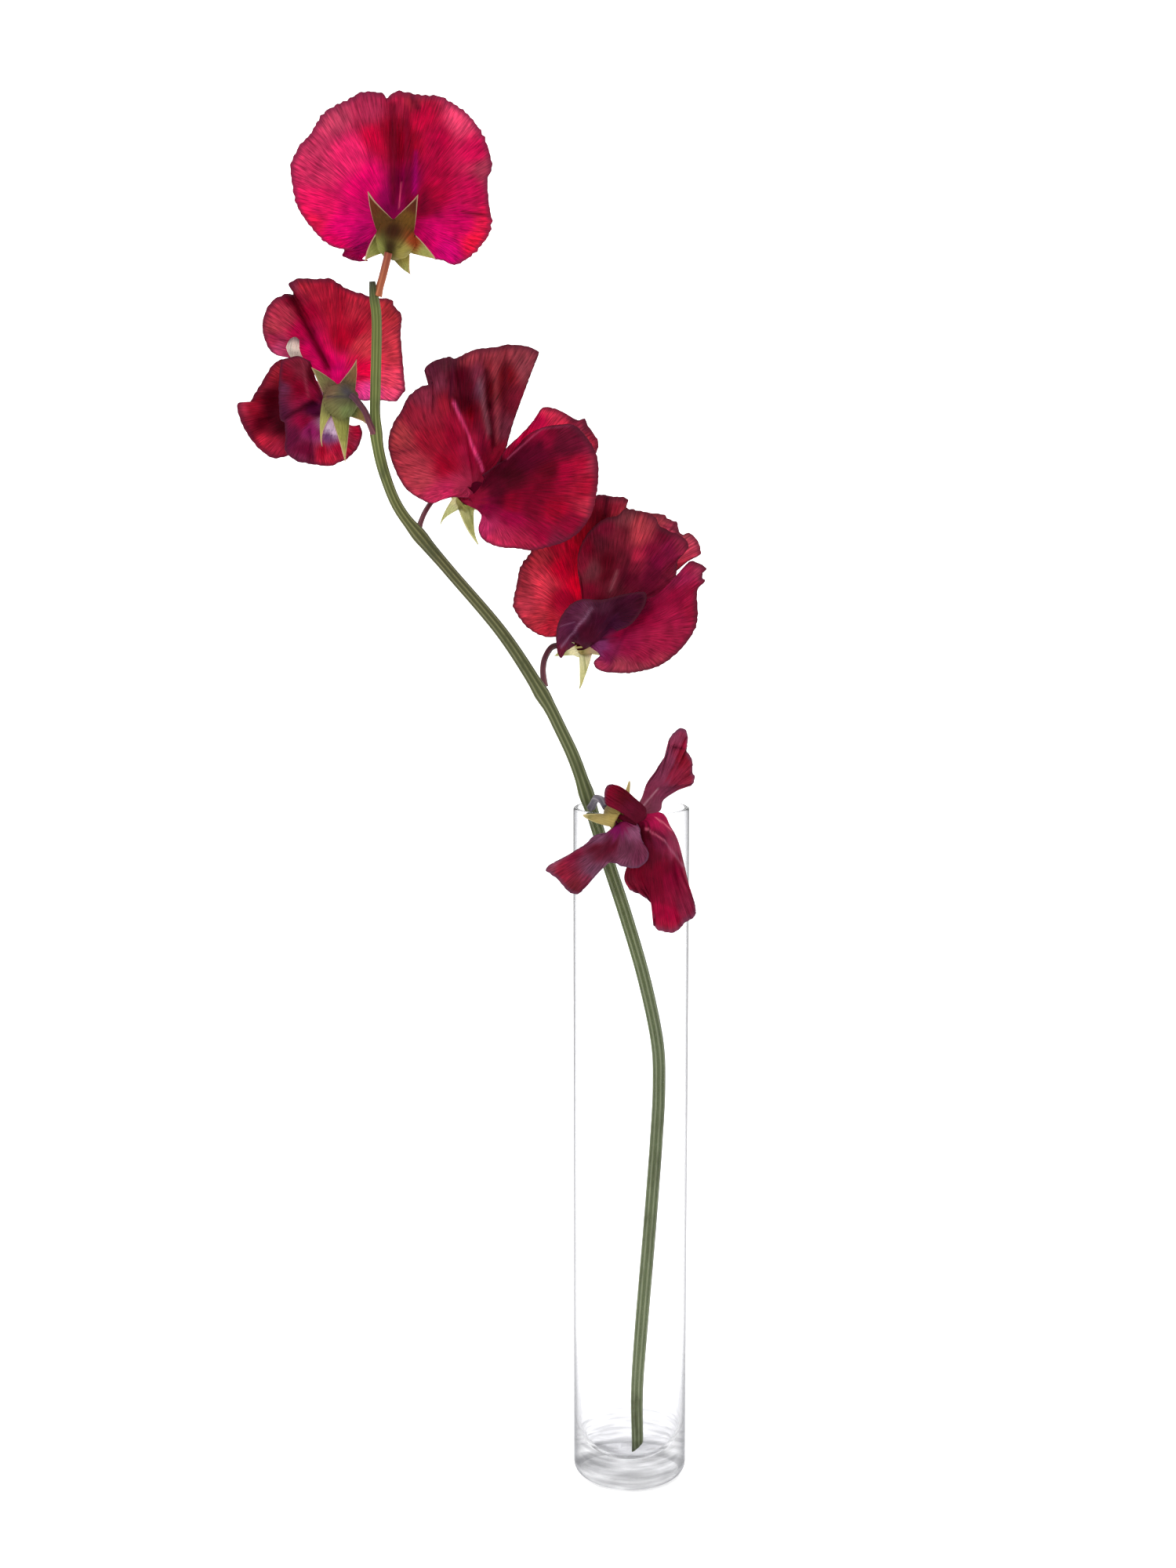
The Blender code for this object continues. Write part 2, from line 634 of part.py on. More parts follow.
def petal(name, ribs, rows, columns, finish):
    """A thin shell lofted over the ribs, which run from the petal's claw to its rim."""
    spread = np.stack([through(rib, columns) for rib in ribs])
    grid = np.stack([through(spread[:, k], rows) for k in range(columns)], axis=1)
    points = grid.reshape(-1, 3)
    faces = []
    for row in range(rows - 1):
        for column in range(columns - 1):
            a = row * columns + column
            faces.append((a, a + 1, a + columns + 1, a + columns))
    thicken(mesh_object(name, points, faces, finish), PETAL_THICKNESS)


def calyx(name, blossom, finish):
    """A cup whose mouth carries five sepals, each four faces wide and drawn out to its own tip."""
    shape = blossom.calyx
    base = blossom.place(shape["base"])
    mouth = blossom.place(shape["mouth"])
    axis = (mouth - base).normalized()
    up = Vector(shape["up"])
    up = (up - up.dot(axis) * axis).normalized()
    side = axis.cross(up)
    reach = (mouth - base).length
    sides = 20
    # The cup's rings: how far along the axis, and how wide, as shares of the reach and of the mouth's radius
    rings = [(0.10, 0.34), (0.26, 0.62), (0.55, 0.86), (1.0, 1.0)]
    points = [base + axis * 0.05 * reach]
    faces = []

    def around(along, width, index):
        turn = 2 * math.pi * index / sides
        out = up * math.cos(turn) + side * math.sin(turn)
        return base + axis * along * reach + out * width * shape["radius"]

    for along, width in rings:
        points += [around(along, width, index) for index in range(sides)]
    for index in range(sides):
        after = (index + 1) % sides
        faces.append((0, 1 + after, 1 + index))
        for ring in range(len(rings) - 1):
            low = 1 + ring * sides
            faces.append((low + index, low + after, low + sides + after, low + sides + index))
    brim = 1 + (len(rings) - 1) * sides
    for sepal, tip in enumerate(shape["tips"]):
        tip = blossom.place(tip)
        below = [brim + (sepal * 4 + k) % sides for k in range(5)]
        root = [points[k] for k in below]
        middle = root[2]
        lean = (middle - mouth).normalized() * 1.2
        for step, (share, narrow) in enumerate([(0.3, 0.78), (0.6, 0.5), (0.85, 0.26), (1.0, 0.07)]):
            bend = 2 * share * (1 - share)
            centre = middle.lerp(tip, share) + lean * bend
            row = []
            for k in range(5):
                points.append(centre + (root[k] - middle) * narrow)
                row.append(len(points) - 1)
            for k in range(4):
                faces.append((below[k], below[k + 1], row[k + 1], row[k]))
            below = row
    thicken(mesh_object(name, points, faces, finish), CALYX_THICKNESS)


def vase():
    """A tube turned about Z: down the outside, under the foot, and up the round-bottomed inside."""
    inner = VASE_RADIUS - VASE_WALL
    lip = VASE_WALL / 2
    profile = [(0.0, 0.0), (FOOT_RADIUS, 0.0)]
    for k in range(1, 5):
        turn = math.pi / 2 * k / 4
        profile.append(
            (
                FOOT_RADIUS + (VASE_RADIUS - FOOT_RADIUS) * math.sin(turn),
                VASE_HEEL * (1 - math.cos(turn)),
            )
        )
    for k in range(5):
        turn = math.pi * k / 4
        profile.append((inner + lip + lip * math.cos(turn), VASE_HEIGHT - lip + lip * math.sin(turn)))
    bowl = 9.0
    for k in range(6):
        turn = math.pi / 2 * k / 6
        profile.append((inner * math.cos(turn), VASE_FLOOR + bowl * (1 - math.sin(turn))))
    profile.append((0.0, VASE_FLOOR))
    ring = [point for point in profile if point[0] > 0]
    points = [(0.0, 0.0, 0.0)]
    for index in range(VASE_SIDES):
        turn = 2 * math.pi * index / VASE_SIDES
        points += [(r * math.cos(turn), r * math.sin(turn), z) for r, z in ring]
    points.append((0.0, 0.0, VASE_FLOOR))
    faces = []
    for index in range(VASE_SIDES):
        here = 1 + index * len(ring)
        there = 1 + (index + 1) % VASE_SIDES * len(ring)
        faces.append((0, there, here))
        for k in range(len(ring) - 1):
            faces.append((here + k, there + k, there + k + 1, here + k + 1))
        faces.append((here + len(ring) - 1, there + len(ring) - 1, len(points) - 1))
    mesh_object("vase", points, faces, GLASS)


def stem():
    path = through([point[:3] for point in STEM], 48)
    radii = through([(point[3], 0.0, point[2]) for point in STEM], 48)[:, 0]
    tube("stem", path, radii, GREEN)


def main():
    clear_scene()
    vase()
    stem()
    for name, blossom in BLOSSOMS.items():
        stalk = through([blossom.place(point) for point in blossom.stalk], 10)
        tube(f"{name}_pedicel", stalk, [blossom.stalk_radius] * 10, MAROON_STALK)
        calyx(f"{name}_calyx", blossom, TAN if blossom is WITHERED else PALE_GREEN)
        for kind, ribs in blossom.petals.items():
            placed = [[blossom.place(point) for point in rib] for rib in ribs]
            petal(f"{name}_{kind}", placed, *PETAL_GRID[kind], (blossom.colour, 0.6, 0.0))


main()
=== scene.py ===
# %% [markdown]
# # A sweet pea spray in a glass tube vase
# One cut stem carries five blossoms: four fresh ones and, at the vase's mouth, a withered one. Each
# blossom has a calyx with five sepals, a broad standard petal at the back, two wings and a folded keel.
# The stem stands in a slim clear tube. This lesson builds every piece over a fixed frame, which already
# holds the sizes and places.

import math

import bmesh
import bpy
import numpy as np
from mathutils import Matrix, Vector


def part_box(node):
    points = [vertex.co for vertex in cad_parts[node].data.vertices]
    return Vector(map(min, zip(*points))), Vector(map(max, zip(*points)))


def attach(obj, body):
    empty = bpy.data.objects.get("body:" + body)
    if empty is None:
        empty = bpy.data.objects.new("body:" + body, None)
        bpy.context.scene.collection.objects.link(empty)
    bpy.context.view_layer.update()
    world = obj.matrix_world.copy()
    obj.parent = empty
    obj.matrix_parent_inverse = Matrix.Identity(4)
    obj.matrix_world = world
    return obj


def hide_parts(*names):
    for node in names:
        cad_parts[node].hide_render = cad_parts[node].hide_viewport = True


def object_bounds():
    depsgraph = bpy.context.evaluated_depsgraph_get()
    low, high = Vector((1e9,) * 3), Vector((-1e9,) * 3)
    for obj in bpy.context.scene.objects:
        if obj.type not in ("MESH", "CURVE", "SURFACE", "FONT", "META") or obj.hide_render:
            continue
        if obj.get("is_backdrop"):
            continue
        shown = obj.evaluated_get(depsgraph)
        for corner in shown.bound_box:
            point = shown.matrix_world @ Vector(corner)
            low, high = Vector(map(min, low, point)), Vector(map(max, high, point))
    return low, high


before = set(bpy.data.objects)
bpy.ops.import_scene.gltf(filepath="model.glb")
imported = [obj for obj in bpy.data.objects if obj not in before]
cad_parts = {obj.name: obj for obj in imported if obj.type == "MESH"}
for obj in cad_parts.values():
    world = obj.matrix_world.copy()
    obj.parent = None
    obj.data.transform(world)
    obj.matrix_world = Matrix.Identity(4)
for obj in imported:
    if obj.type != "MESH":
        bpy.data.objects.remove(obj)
frame_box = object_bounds()
MM = 0.001
print("frame nodes:", len(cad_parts), "height in mm:", round(frame_box[1].z / MM, 1))

# %% [markdown]
# ## Small helpers
# Petals are lofted over a few ribs, so the first helper draws a smooth curve through points. The second
# lays a primitive grid on a table of points: the grid brings clean quads and a UV map that runs across
# and along the petal, and the table brings the shape. Every piece ends the same way, so that is a helper
# too.


# %% A smooth curve through points
STEPS = 16


def smooth_line(points, count):
    """count places, evenly spaced, on a Catmull-Rom curve through the points."""
    points = np.array(points, float)
    held = np.vstack([2 * points[0] - points[1], points, 2 * points[-1] - points[-2]])
    fine = []
    for k in range(len(points) - 1):
        a, b, c, d = held[k : k + 4]
        for t in np.linspace(0, 1, STEPS, endpoint=False):
            bend = (2 * a - 5 * b + 4 * c - d) * t**2 + (3 * b - a - 3 * c + d) * t**3
            curve = 2 * b + (c - a) * t + bend
            fine.append(curve / 2)
    fine = np.array(fine + [points[-1]])
    run = np.concatenate([[0], np.cumsum(np.linalg.norm(np.diff(fine, axis=0), axis=1))])
    stops = np.linspace(0, run[-1], count)
    return np.stack([np.interp(stops, run, column) for column in fine.T], axis=1)


# %% Ease in and out
def ease(low, high, value):
    """0 below low, 1 above high, and a smooth step between them."""
    share = np.clip((value - low) / (high - low), 0, 1)
    return share * share * (3 - 2 * share)


# %% A colour from its hex name
def hue(code):
    """Linear red, green and blue of a hex colour."""
    shares = [int(code[k : k + 2], 16) / 255 for k in (0, 2, 4)]
    return np.array([c / 12.92 if c <= 0.04045 else ((c + 0.055) / 1.055) ** 2.4 for c in shares])


# %% Paint the vertices
def set_tint(piece, colour):
    """Stores linear colours, in vertex order, as the attribute tint."""
    tint = piece.data.color_attributes.new("tint", "FLOAT_COLOR", "POINT")
    tint.data.foreach_set("color", np.insert(colour.reshape(-1, 3), 3, 1, axis=1).ravel())


# %% A grid laid on a table of points
def lay_grid(name, table, colour):
    """A grid primitive whose vertices are moved to table[row][column], in metres, and painted as tint."""
    rows, columns = table.shape[:2]
    bpy.ops.object.select_all(action="DESELECT")
    bpy.ops.mesh.primitive_grid_add(x_subdivisions=columns - 1, y_subdivisions=rows - 1, size=2)
    piece = bpy.context.object
    piece.name = piece.data.name = name
    start = np.empty(rows * columns * 3)
    piece.data.vertices.foreach_get("co", start)
    column, row, _ = np.rint((start.reshape(-1, 3) + 1) / 2 * (columns - 1, rows - 1, 1)).astype(int).T
    piece.data.vertices.foreach_set("co", table[row, column].ravel())
    set_tint(piece, colour[row, column])
    piece.data.update()
    return piece


# %% Apply a modifier
def finish_modifier(piece, kind, **values):
    """Adds one modifier with these values and applies it."""
    bpy.ops.object.select_all(action="DESELECT")
    piece.select_set(True)
    bpy.context.view_layer.objects.active = piece
    modifier = piece.modifiers.new(kind.title(), kind)
    for key, value in values.items():
        setattr(modifier, key, value)
    bpy.ops.object.modifier_apply(modifier=modifier.name)


# %% Hand a finished piece to the frame
def hand_over(piece, node, slot, material):
    """Smooth shading, the material, the body it rides on and the frame node it stands for."""
    piece.data.shade_smooth()
    piece.data.materials.clear()
    piece.data.materials.append(material)
    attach(piece, "root")
    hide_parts(node)
    print(f"{piece.name}: {len(piece.data.polygons)} faces")


# %% [markdown]
# Materials and node groups are built from nodes. Four short helpers keep their recipes readable: one adds
# a node, one sets inputs by name, one links sockets, and one gives a group its sockets.


# %% Node helpers
def add_node(tree, kind, **values):
    """A node of the tree; in0, in1 and so on set its inputs by number, and other keywords its properties."""
    node = tree.nodes.new(kind)
    for key, value in values.items():
        if key[2:].isdigit():
            node.inputs[int(key[2:])].default_value = value
        else:
            setattr(node, key, value)
    return node


def set_inputs(node, **values):
    """Sets a node's inputs by name, with _ for a space."""
    for key, value in values.items():
        node.inputs[key.replace("_", " ")].default_value = value


def join(tree, *pairs):
    """Links output sockets to input sockets."""
    for source, target in pairs:
        tree.links.new(source, target)


def add_sockets(group, side, **kinds):
    """Sockets on one side of a node group, by name and kind, with _ for a space."""
    for key, kind in kinds.items():
        group.interface.new_socket(key.replace("_", " "), in_out=side, socket_type=f"NodeSocket{kind}")


# %% [markdown]
# ## Camera
# The spray is looked at from a little above the middle, with a slight downward tilt. The blossoms were
# laid out on upright planes as seen from that same point, so their outlines widen with depth about it.

# %% Camera
EYE = Vector((-9.3, -445.0, 213.5)) * MM
TILT = math.radians(82.5)
LENS = 48
bpy.ops.object.camera_add(location=EYE, rotation=(TILT, 0, 0))
camera = bpy.context.object
camera.data.lens = LENS
camera.data.clip_start = 0.01
bpy.context.scene.camera = camera
print("camera distance in mm:", round(-EYE.y / MM))


# %% Places in a blossom
def fan_out(points, origin):
    """Points (x, depth, z) from a blossom's origin, in mm, as places in the frame, in metres."""
    placed = np.array(points, float) + np.array(origin, float)
    eye = np.array(EYE) / MM
    widen = (placed[..., 1] - eye[1]) / (origin[1] - eye[1])
    placed[..., 0] = eye[0] + (placed[..., 0] - eye[0]) * widen
    placed[..., 2] = eye[2] + (placed[..., 2] - eye[2]) * widen
    return placed * MM


# %% [markdown]
# ## Light and floor
# Petals glow when light comes through them, so most light comes from behind, off a wide white wall. The
# sides are dimmer, because clear glass only shows its edges where it bends something darker into view. A
# pale floor and one soft lamp above finish the room.

# %% World
SIDE_LIGHT = 1.05
WALL_LIGHT = 1.7
world = bpy.data.worlds.new("studio")
bpy.context.scene.world = world
world.use_nodes = True
sky = world.node_tree
backdrop = sky.nodes["Background"]
set_inputs(backdrop, Color=(1, 1, 1, 1))
toward = add_node(sky, "ShaderNodeTexCoord")
part = add_node(sky, "ShaderNodeSeparateXYZ")
wall = add_node(sky, "ShaderNodeMapRange", interpolation_type="SMOOTHSTEP")
set_inputs(wall, From_Min=0.05, From_Max=0.75, To_Min=SIDE_LIGHT, To_Max=WALL_LIGHT)
join(
    sky,
    (toward.outputs["Generated"], part.inputs[0]),
    (part.outputs["Y"], wall.inputs["Value"]),
    (wall.outputs["Result"], backdrop.inputs["Strength"]),
)
bpy.context.scene.view_settings.view_transform = "Standard"
print("world is brightest toward +Y")

# %% Floor
bpy.ops.object.select_all(action="DESELECT")
bpy.ops.mesh.primitive_plane_add(size=6)
floor = bpy.context.object
floor.name = "floor"
bpy.ops.object.mode_set(mode="EDIT")
bpy.ops.mesh.subdivide(number_cuts=3)
bpy.ops.object.mode_set(mode="OBJECT")
floor_paint = bpy.data.materials.new("floor_paint")
floor_paint.use_nodes = True
floor_shader = floor_paint.node_tree.nodes["Principled BSDF"]
set_inputs(floor_shader, Base_Color=(0.95, 0.95, 0.95, 1), Roughness=0.6)
set_inputs(floor_shader, Emission_Color=(1, 1, 1, 1), Emission_Strength=0.45)
floor.data.materials.append(floor_paint)
floor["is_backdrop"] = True
print("floor is", floor.dimensions.x, "m wide")

# %% Lamp
LAMP_PLACE = (-0.35, -0.55, 0.75)
LAMP_AIM = Vector((-0.03, 0, 0.2))
bpy.ops.object.light_add(type="AREA", location=LAMP_PLACE)
lamp = bpy.context.object
lamp.data.size = 0.6
lamp.data.energy = 2.2
lamp.rotation_euler = (LAMP_AIM - lamp.location).to_track_quat("-Z", "Y").to_euler()
print("lamp watts:", lamp.data.energy)

# %% [markdown]
# ## The vase
# A tube vase is blown or drawn glass with one thin wall, a round-bottomed inside and a thick solid foot.
# It could be spun from a profile. Starting from a cylinder is closer to how the eye reads it: inset the
# top, push the inset down to make the hollow, then round the lip, the heel and the bowl with bevels.

# %% Select edges by place
def pick_edges(piece, wanted):
    """Selects the edges of the edit mesh whose two ends both pass the test."""
    mesh = bmesh.from_edit_mesh(piece.data)
    for edge in mesh.edges:
        edge.select = all(wanted(end.co) for end in edge.verts)
    mesh.select_flush_mode()
    bmesh.update_edit_mesh(piece.data)


# %% Blow the vase
low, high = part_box("vase")
HEIGHT = high.z
RADIUS = high.x
WALL = 1.2 * MM
FLOOR = 4.6 * MM
BOWL_ROUND = 8.6 * MM
HEEL_ROUND = 2.6 * MM
LIP_ROUND = 0.52 * MM
NEAR = 0.1 * MM
SIDES = 128
bpy.ops.object.select_all(action="DESELECT")
bpy.ops.mesh.primitive_cylinder_add(vertices=SIDES, radius=RADIUS, depth=HEIGHT, location=(0, 0, HEIGHT / 2))
vase = bpy.context.object
vase.name = vase.data.name = "glass_tube"
bpy.ops.object.transform_apply(location=True, rotation=True, scale=True)
bpy.ops.object.mode_set(mode="EDIT")
bpy.ops.mesh.select_all(action="DESELECT")
bpy.ops.mesh.select_mode(type="FACE")
shell = bmesh.from_edit_mesh(vase.data)
for face in shell.faces:
    face.select = face.normal.z > 0.9
bmesh.update_edit_mesh(vase.data)
bpy.ops.mesh.inset(thickness=WALL, depth=0)
bpy.ops.mesh.extrude_region_move(TRANSFORM_OT_translate={"value": (0, 0, FLOOR - HEIGHT)})
bpy.ops.mesh.select_mode(type="EDGE")
for wanted, size, segments in (
    (lambda p: abs(p.z - FLOOR) < NEAR, BOWL_ROUND, 10),
    (lambda p: p.z < NEAR, HEEL_ROUND, 6),
    (lambda p: p.z > HEIGHT - NEAR, LIP_ROUND, 4),
):
    pick_edges(vase, wanted)
    bpy.ops.mesh.bevel(offset=size, segments=segments, profile=0.5, affect="EDGES")
bpy.ops.object.mode_set(mode="OBJECT")
print("vase rings:", len(vase.data.vertices) // SIDES)

# %% [markdown]
# Drawn glass is never perfectly even: its wall waves a little from top to bottom. The material is clear
# glass with painted grey shade along its edges, and a faint long-wave bump makes the edge lines waver the
# way they do on the real tube.

# %% Glass
glass = bpy.data.materials.new("clear_glass")
glass.use_nodes = True
shader = glass.node_tree.nodes["Principled BSDF"]
set_inputs(shader, Transmission_Weight=1, IOR=1.08, Roughness=0.0)


def glass_node(kind, **values):
    """A node of the glass material."""
    return add_node(glass.node_tree, kind, **values)


place = glass_node("ShaderNodeTexCoord")
stretch = glass_node("ShaderNodeMapping", in3=(60, 60, 12))
waver = glass_node("ShaderNodeTexNoise", in2=1.0, in3=1.0)
bump = glass_node("ShaderNodeBump")
set_inputs(bump, Strength=0.06, Distance=0.4 * MM)
join(
    glass.node_tree,
    (place.outputs["Object"], stretch.inputs["Vector"]),
    (stretch.outputs[0], waver.inputs["Vector"]),
    (waver.outputs["Fac"], bump.inputs["Height"]),
    (bump.outputs["Normal"], shader.inputs["Normal"]),
)

# %% [markdown]
# Looked at edge-on, the walls show a thin grey line where the glass bends darker surroundings into view;
# that line is painted shade in the glass's base colour, set by the angle to the eye. The painted line widens
# at the rim and towards the thick foot, and the foot also gets flat grey patches of painted shade. Map
# Range nodes turn heights and distances into shares, and the largest share decides how grey a spot is.

# %% Glass greys, painted shade
height = glass_node("ShaderNodeSeparateXYZ")
foot = glass_node("ShaderNodeMapRange", in1=9 * MM, in2=15 * MM, in3=1.0, in4=0.0)
heel = glass_node("ShaderNodeMapRange", in1=6 * MM, in2=34 * MM, in3=1.0, in4=0.0)
rim = glass_node("ShaderNodeMapRange", in1=128 * MM, in2=150 * MM, in3=0.0, in4=0.45)
widen = glass_node("ShaderNodeMath", operation="MAXIMUM")
start = glass_node("ShaderNodeMapRange", in1=0.0, in2=1.0, in3=0.48, in4=0.14)
# Painted shade: the walls' thin grey line, from the angle to the eye.
facing = glass_node("ShaderNodeLayerWeight")
side = glass_node("ShaderNodeMapRange", in2=0.86, in3=0.0, in4=1.0, interpolation_type="SMOOTHSTEP")
outer_side = glass_node("ShaderNodeMath", operation="MULTIPLY")
lip = glass_node("ShaderNodeMapRange", in1=148.9 * MM, in2=149.6 * MM, in3=0.0, in4=0.25)
edges = glass_node("ShaderNodeMath", operation="MAXIMUM")
flat_place = glass_node("ShaderNodeMapping", in3=(1, 1, 0))
radius = glass_node("ShaderNodeVectorMath", operation="LENGTH")
skin_side = glass_node("ShaderNodeMapRange", in1=11.4 * MM, in2=12.1 * MM, in3=0.15, in4=1.0)
underside = glass_node("ShaderNodeMapRange", in1=3.0 * MM, in2=4.2 * MM, in3=1.0, in4=0.0)
outer = glass_node("ShaderNodeMath", operation="MAXIMUM")
foot_share = glass_node("ShaderNodeMath", operation="MULTIPLY")
flatten = glass_node("ShaderNodeMapping", in3=(90, 90, 900))
# Painted shade: flat grey patches in the thick foot, where the solid glass bends darker surroundings into
# view.
foot_shade_noise = glass_node("ShaderNodeTexNoise", in2=1.0, in3=3.0)
patches = glass_node("ShaderNodeMapRange", in1=0.34, in2=0.62, in3=0.25, in4=0.71)
foot_shade_mask = glass_node("ShaderNodeMath", operation="MULTIPLY")
cover = glass_node("ShaderNodeMath", operation="MAXIMUM")
grey = glass_node("ShaderNodeMix", data_type="RGBA")
set_inputs(grey, A=(0.985, 0.985, 1.0, 1), B=(0.06, 0.062, 0.072, 1))

# %% Join the greys
join(
    glass.node_tree,
    (place.outputs["Object"], height.inputs[0]),
    (height.outputs["Z"], foot.inputs["Value"]),
    (height.outputs["Z"], heel.inputs["Value"]),
    (height.outputs["Z"], rim.inputs["Value"]),
    (heel.outputs[0], widen.inputs[0]),
    (rim.outputs[0], widen.inputs[1]),
    (widen.outputs[0], start.inputs["Value"]),
    (start.outputs[0], side.inputs["From Min"]),
    (facing.outputs["Facing"], side.inputs["Value"]),
    (place.outputs["Object"], flatten.inputs["Vector"]),
    (flatten.outputs[0], foot_shade_noise.inputs["Vector"]),
    (foot_shade_noise.outputs["Fac"], patches.inputs["Value"]),
    (patches.outputs[0], foot_shade_mask.inputs[0]),
    (place.outputs["Object"], flat_place.inputs["Vector"]),
    (flat_place.outputs[0], radius.inputs[0]),
    (radius.outputs["Value"], skin_side.inputs["Value"]),
    (height.outputs["Z"], underside.inputs["Value"]),
    (skin_side.outputs[0], outer.inputs[0]),
    (underside.outputs[0], outer.inputs[1]),
    (outer.outputs[0], foot_share.inputs[0]),
    (foot.outputs[0], foot_share.inputs[1]),
    (foot_share.outputs[0], foot_shade_mask.inputs[1]),
    (foot_shade_mask.outputs[0], cover.inputs[0]),
    (height.outputs["Z"], lip.inputs["Value"]),
    (side.outputs[0], outer_side.inputs[0]),
    (skin_side.outputs[0], outer_side.inputs[1]),
    (outer_side.outputs[0], edges.inputs[0]),
    (lip.outputs[0], edges.inputs[1]),
    (edges.outputs[0], cover.inputs[1]),
    (cover.outputs[0], grey.inputs["Factor"]),
    (grey.outputs["Result"], shader.inputs["Base Color"]),
)
hand_over(vase, "vase", "clear_glass", glass)

# %% [markdown]
# ## Green stalks
# A sweet pea's stem is ridged and swells where each flower stalk leaves it. A curve with a ridged profile
# draws it in one go; each point of the curve carries its own radius. The curve is then turned into a
# mesh.


# %% Draw a stalk
POINTS_PER_RIDGE = 8
CREST_SHARE = 0.5


def draw_stalk(name, path, radii, ridges, ridge_height, tones):
    """A ridged rod along path, in metres, closed at both ends; tones are (share of length, furrow, ridge)."""
    bpy.ops.object.select_all(action="DESELECT")
    bpy.ops.curve.primitive_bezier_circle_add(radius=1)
    outline = bpy.context.object
    outline.data.splines.clear()
    ring = outline.data.splines.new("POLY")
    sides = POINTS_PER_RIDGE * ridges
    ring.points.add(sides - 1)
    for k, point in enumerate(ring.points):
        turn = 2 * math.pi * k / sides
        reach = 1 + ridge_height * math.cos(ridges * turn)
        point.co = (reach * math.cos(turn), reach * math.sin(turn), 0, 1)
    ring.use_cyclic_u = True
    bpy.ops.object.select_all(action="DESELECT")
    bpy.ops.curve.primitive_bezier_curve_add()
    rod = bpy.context.object
    rod.name = rod.data.name = name
    rod.data.splines.clear()
    line = rod.data.splines.new("POLY")
    line.points.add(len(path) - 1)
    for point, spot, radius in zip(line.points, path, radii):
        point.co = (*spot, 1)
        point.radius = radius
    rod.data.bevel_mode = "OBJECT"
    rod.data.bevel_object = outline
    rod.data.use_fill_caps = True
    bpy.ops.object.convert(target="MESH")
    bpy.data.objects.remove(outline)
    along = np.linspace(0, 1, len(path))
    stops = [tone[0] for tone in tones]
    turns = 2 * math.pi * np.arange(sides) / sides
    crest = (CREST_SHARE * ((1 + np.cos(ridges * turns)) / 2) ** 4)[None, :, None]
    furrow, ridge = [], []
    for tone, place in ((furrow, 1), (ridge, 2)):
        for channel in np.array([hue(entry[place]) for entry in tones]).T:
            tone.append(np.interp(along, stops, channel))
    furrow, ridge = np.stack(furrow, axis=-1), np.stack(ridge, axis=-1)
    rings = furrow[:, None] * (1 - crest) + ridge[:, None] * crest
    set_tint(rod, np.concatenate([rings[-1:], rings[:1], rings]))
    bpy.ops.object.mode_set(mode="EDIT")
    bpy.ops.mesh.select_all(action="SELECT")
    bpy.ops.mesh.remove_doubles(threshold=0.001 * MM)
    bpy.ops.mesh.normals_make_consistent(inside=False)
    bpy.ops.object.mode_set(mode="OBJECT")
    return rod


# %% Stem route
# Points x, depth, z and radius in mm, from the cut end that rests in the vase to the top.
STEM = [
    (1.7, -3.2, 6.9, 1.2), (1.6, -1.2, 19.0, 1.3), (2.6, 1.0, 33.2, 1.4), (4.4, 3.4, 54.3, 1.4),
    (6.0, 5.2, 75.4, 1.4), (6.5, 5.6, 86.9, 1.4), (6.0, 5.4, 96.7, 1.4), (3.0, 4.0, 111.0, 1.4),
    (-1.1, 2.0, 125.4, 1.4), (-5.6, -0.4, 139.6, 1.35), (-9.2, -1.8, 151.5, 1.35),
    (-12.1, -2.0, 160.2, 1.3),
    (-15.2, -1.5, 166.9, 1.3), (-18.7, -1.0, 173.6, 1.35), (-27.3, 0.0, 186.9, 1.25),
    (-38.4, 0.0, 200.1, 1.2),
    (-44.0, 0.0, 206.7, 1.3), (-49.1, 0.0, 213.3, 1.15), (-51.9, 0.0, 219.9, 1.1),
    (-53.5, 0.0, 226.4, 1.15),
    (-54.0, 0.0, 232.9, 1.05), (-53.8, 0.0, 239.4, 1.05), (-53.4, 0.0, 252.2, 1.0),
    (-53.9, 0.0, 257.2, 0.95),
    (-54.2, -0.3, 260.4, 0.6),
]
# Places x, z where a flower stalk leaves the stem, and how much and how far the stem swells there.
NODES = [(-9.5, 153.0), (-18.7, 174.5), (-44.5, 208.5), (-54.2, 229.5)]
SWELL = 0.22
SWELL_REACH = 2.2
# Share of the length, furrow colour and ridge colour.
STEM_TONES = [
    (0.0, "5C6646", "A8AE8C"), (0.35, "4E5838", "989E7C"), (0.5, "4A5428", "A0A47C"),
    (0.6, "444A28", "94966C"),
    (0.78, "403E20", "8C8658"), (0.9, "545E28", "A0A468"), (0.98, "505A26", "84884C"),
    (1.0, "262418", "3E3A28"),
]
STEM_RINGS = 190
route = smooth_line([point[:3] for point in STEM], STEM_RINGS)
girth = smooth_line([(point[3], 0, point[2]) for point in STEM], STEM_RINGS)[:, 0]
for x, z in NODES:
    near = np.linalg.norm(route[:, [0, 2]] - (x, z), axis=1)
    girth = girth * (1 + SWELL * np.exp(-((near / SWELL_REACH) ** 2)))
stem = draw_stalk("green_stem", route * MM, girth * MM, 9, 0.07, STEM_TONES)

# %% Cut the stem's end at a slant
CUT_FROM = 9.5 * MM
CUT_TO = 7.0 * MM
SLANT = 1.1
for vertex in stem.data.vertices:
    share = ease(CUT_FROM, CUT_TO, vertex.co.z)
    vertex.co.z += share * (SLANT * (vertex.co.x - STEM[0][0] * MM) - 0.6 * MM)
print("stem length in mm:", round(float(np.linalg.norm(np.diff(route, axis=0), axis=1).sum())))

# %% [markdown]
# ## Green finish
# Fresh stems are olive with paler ridges, fine lengthwise streaks and a slight bloom. One group draws the
# streaks for the stem and the flower stalks over their painted tint.

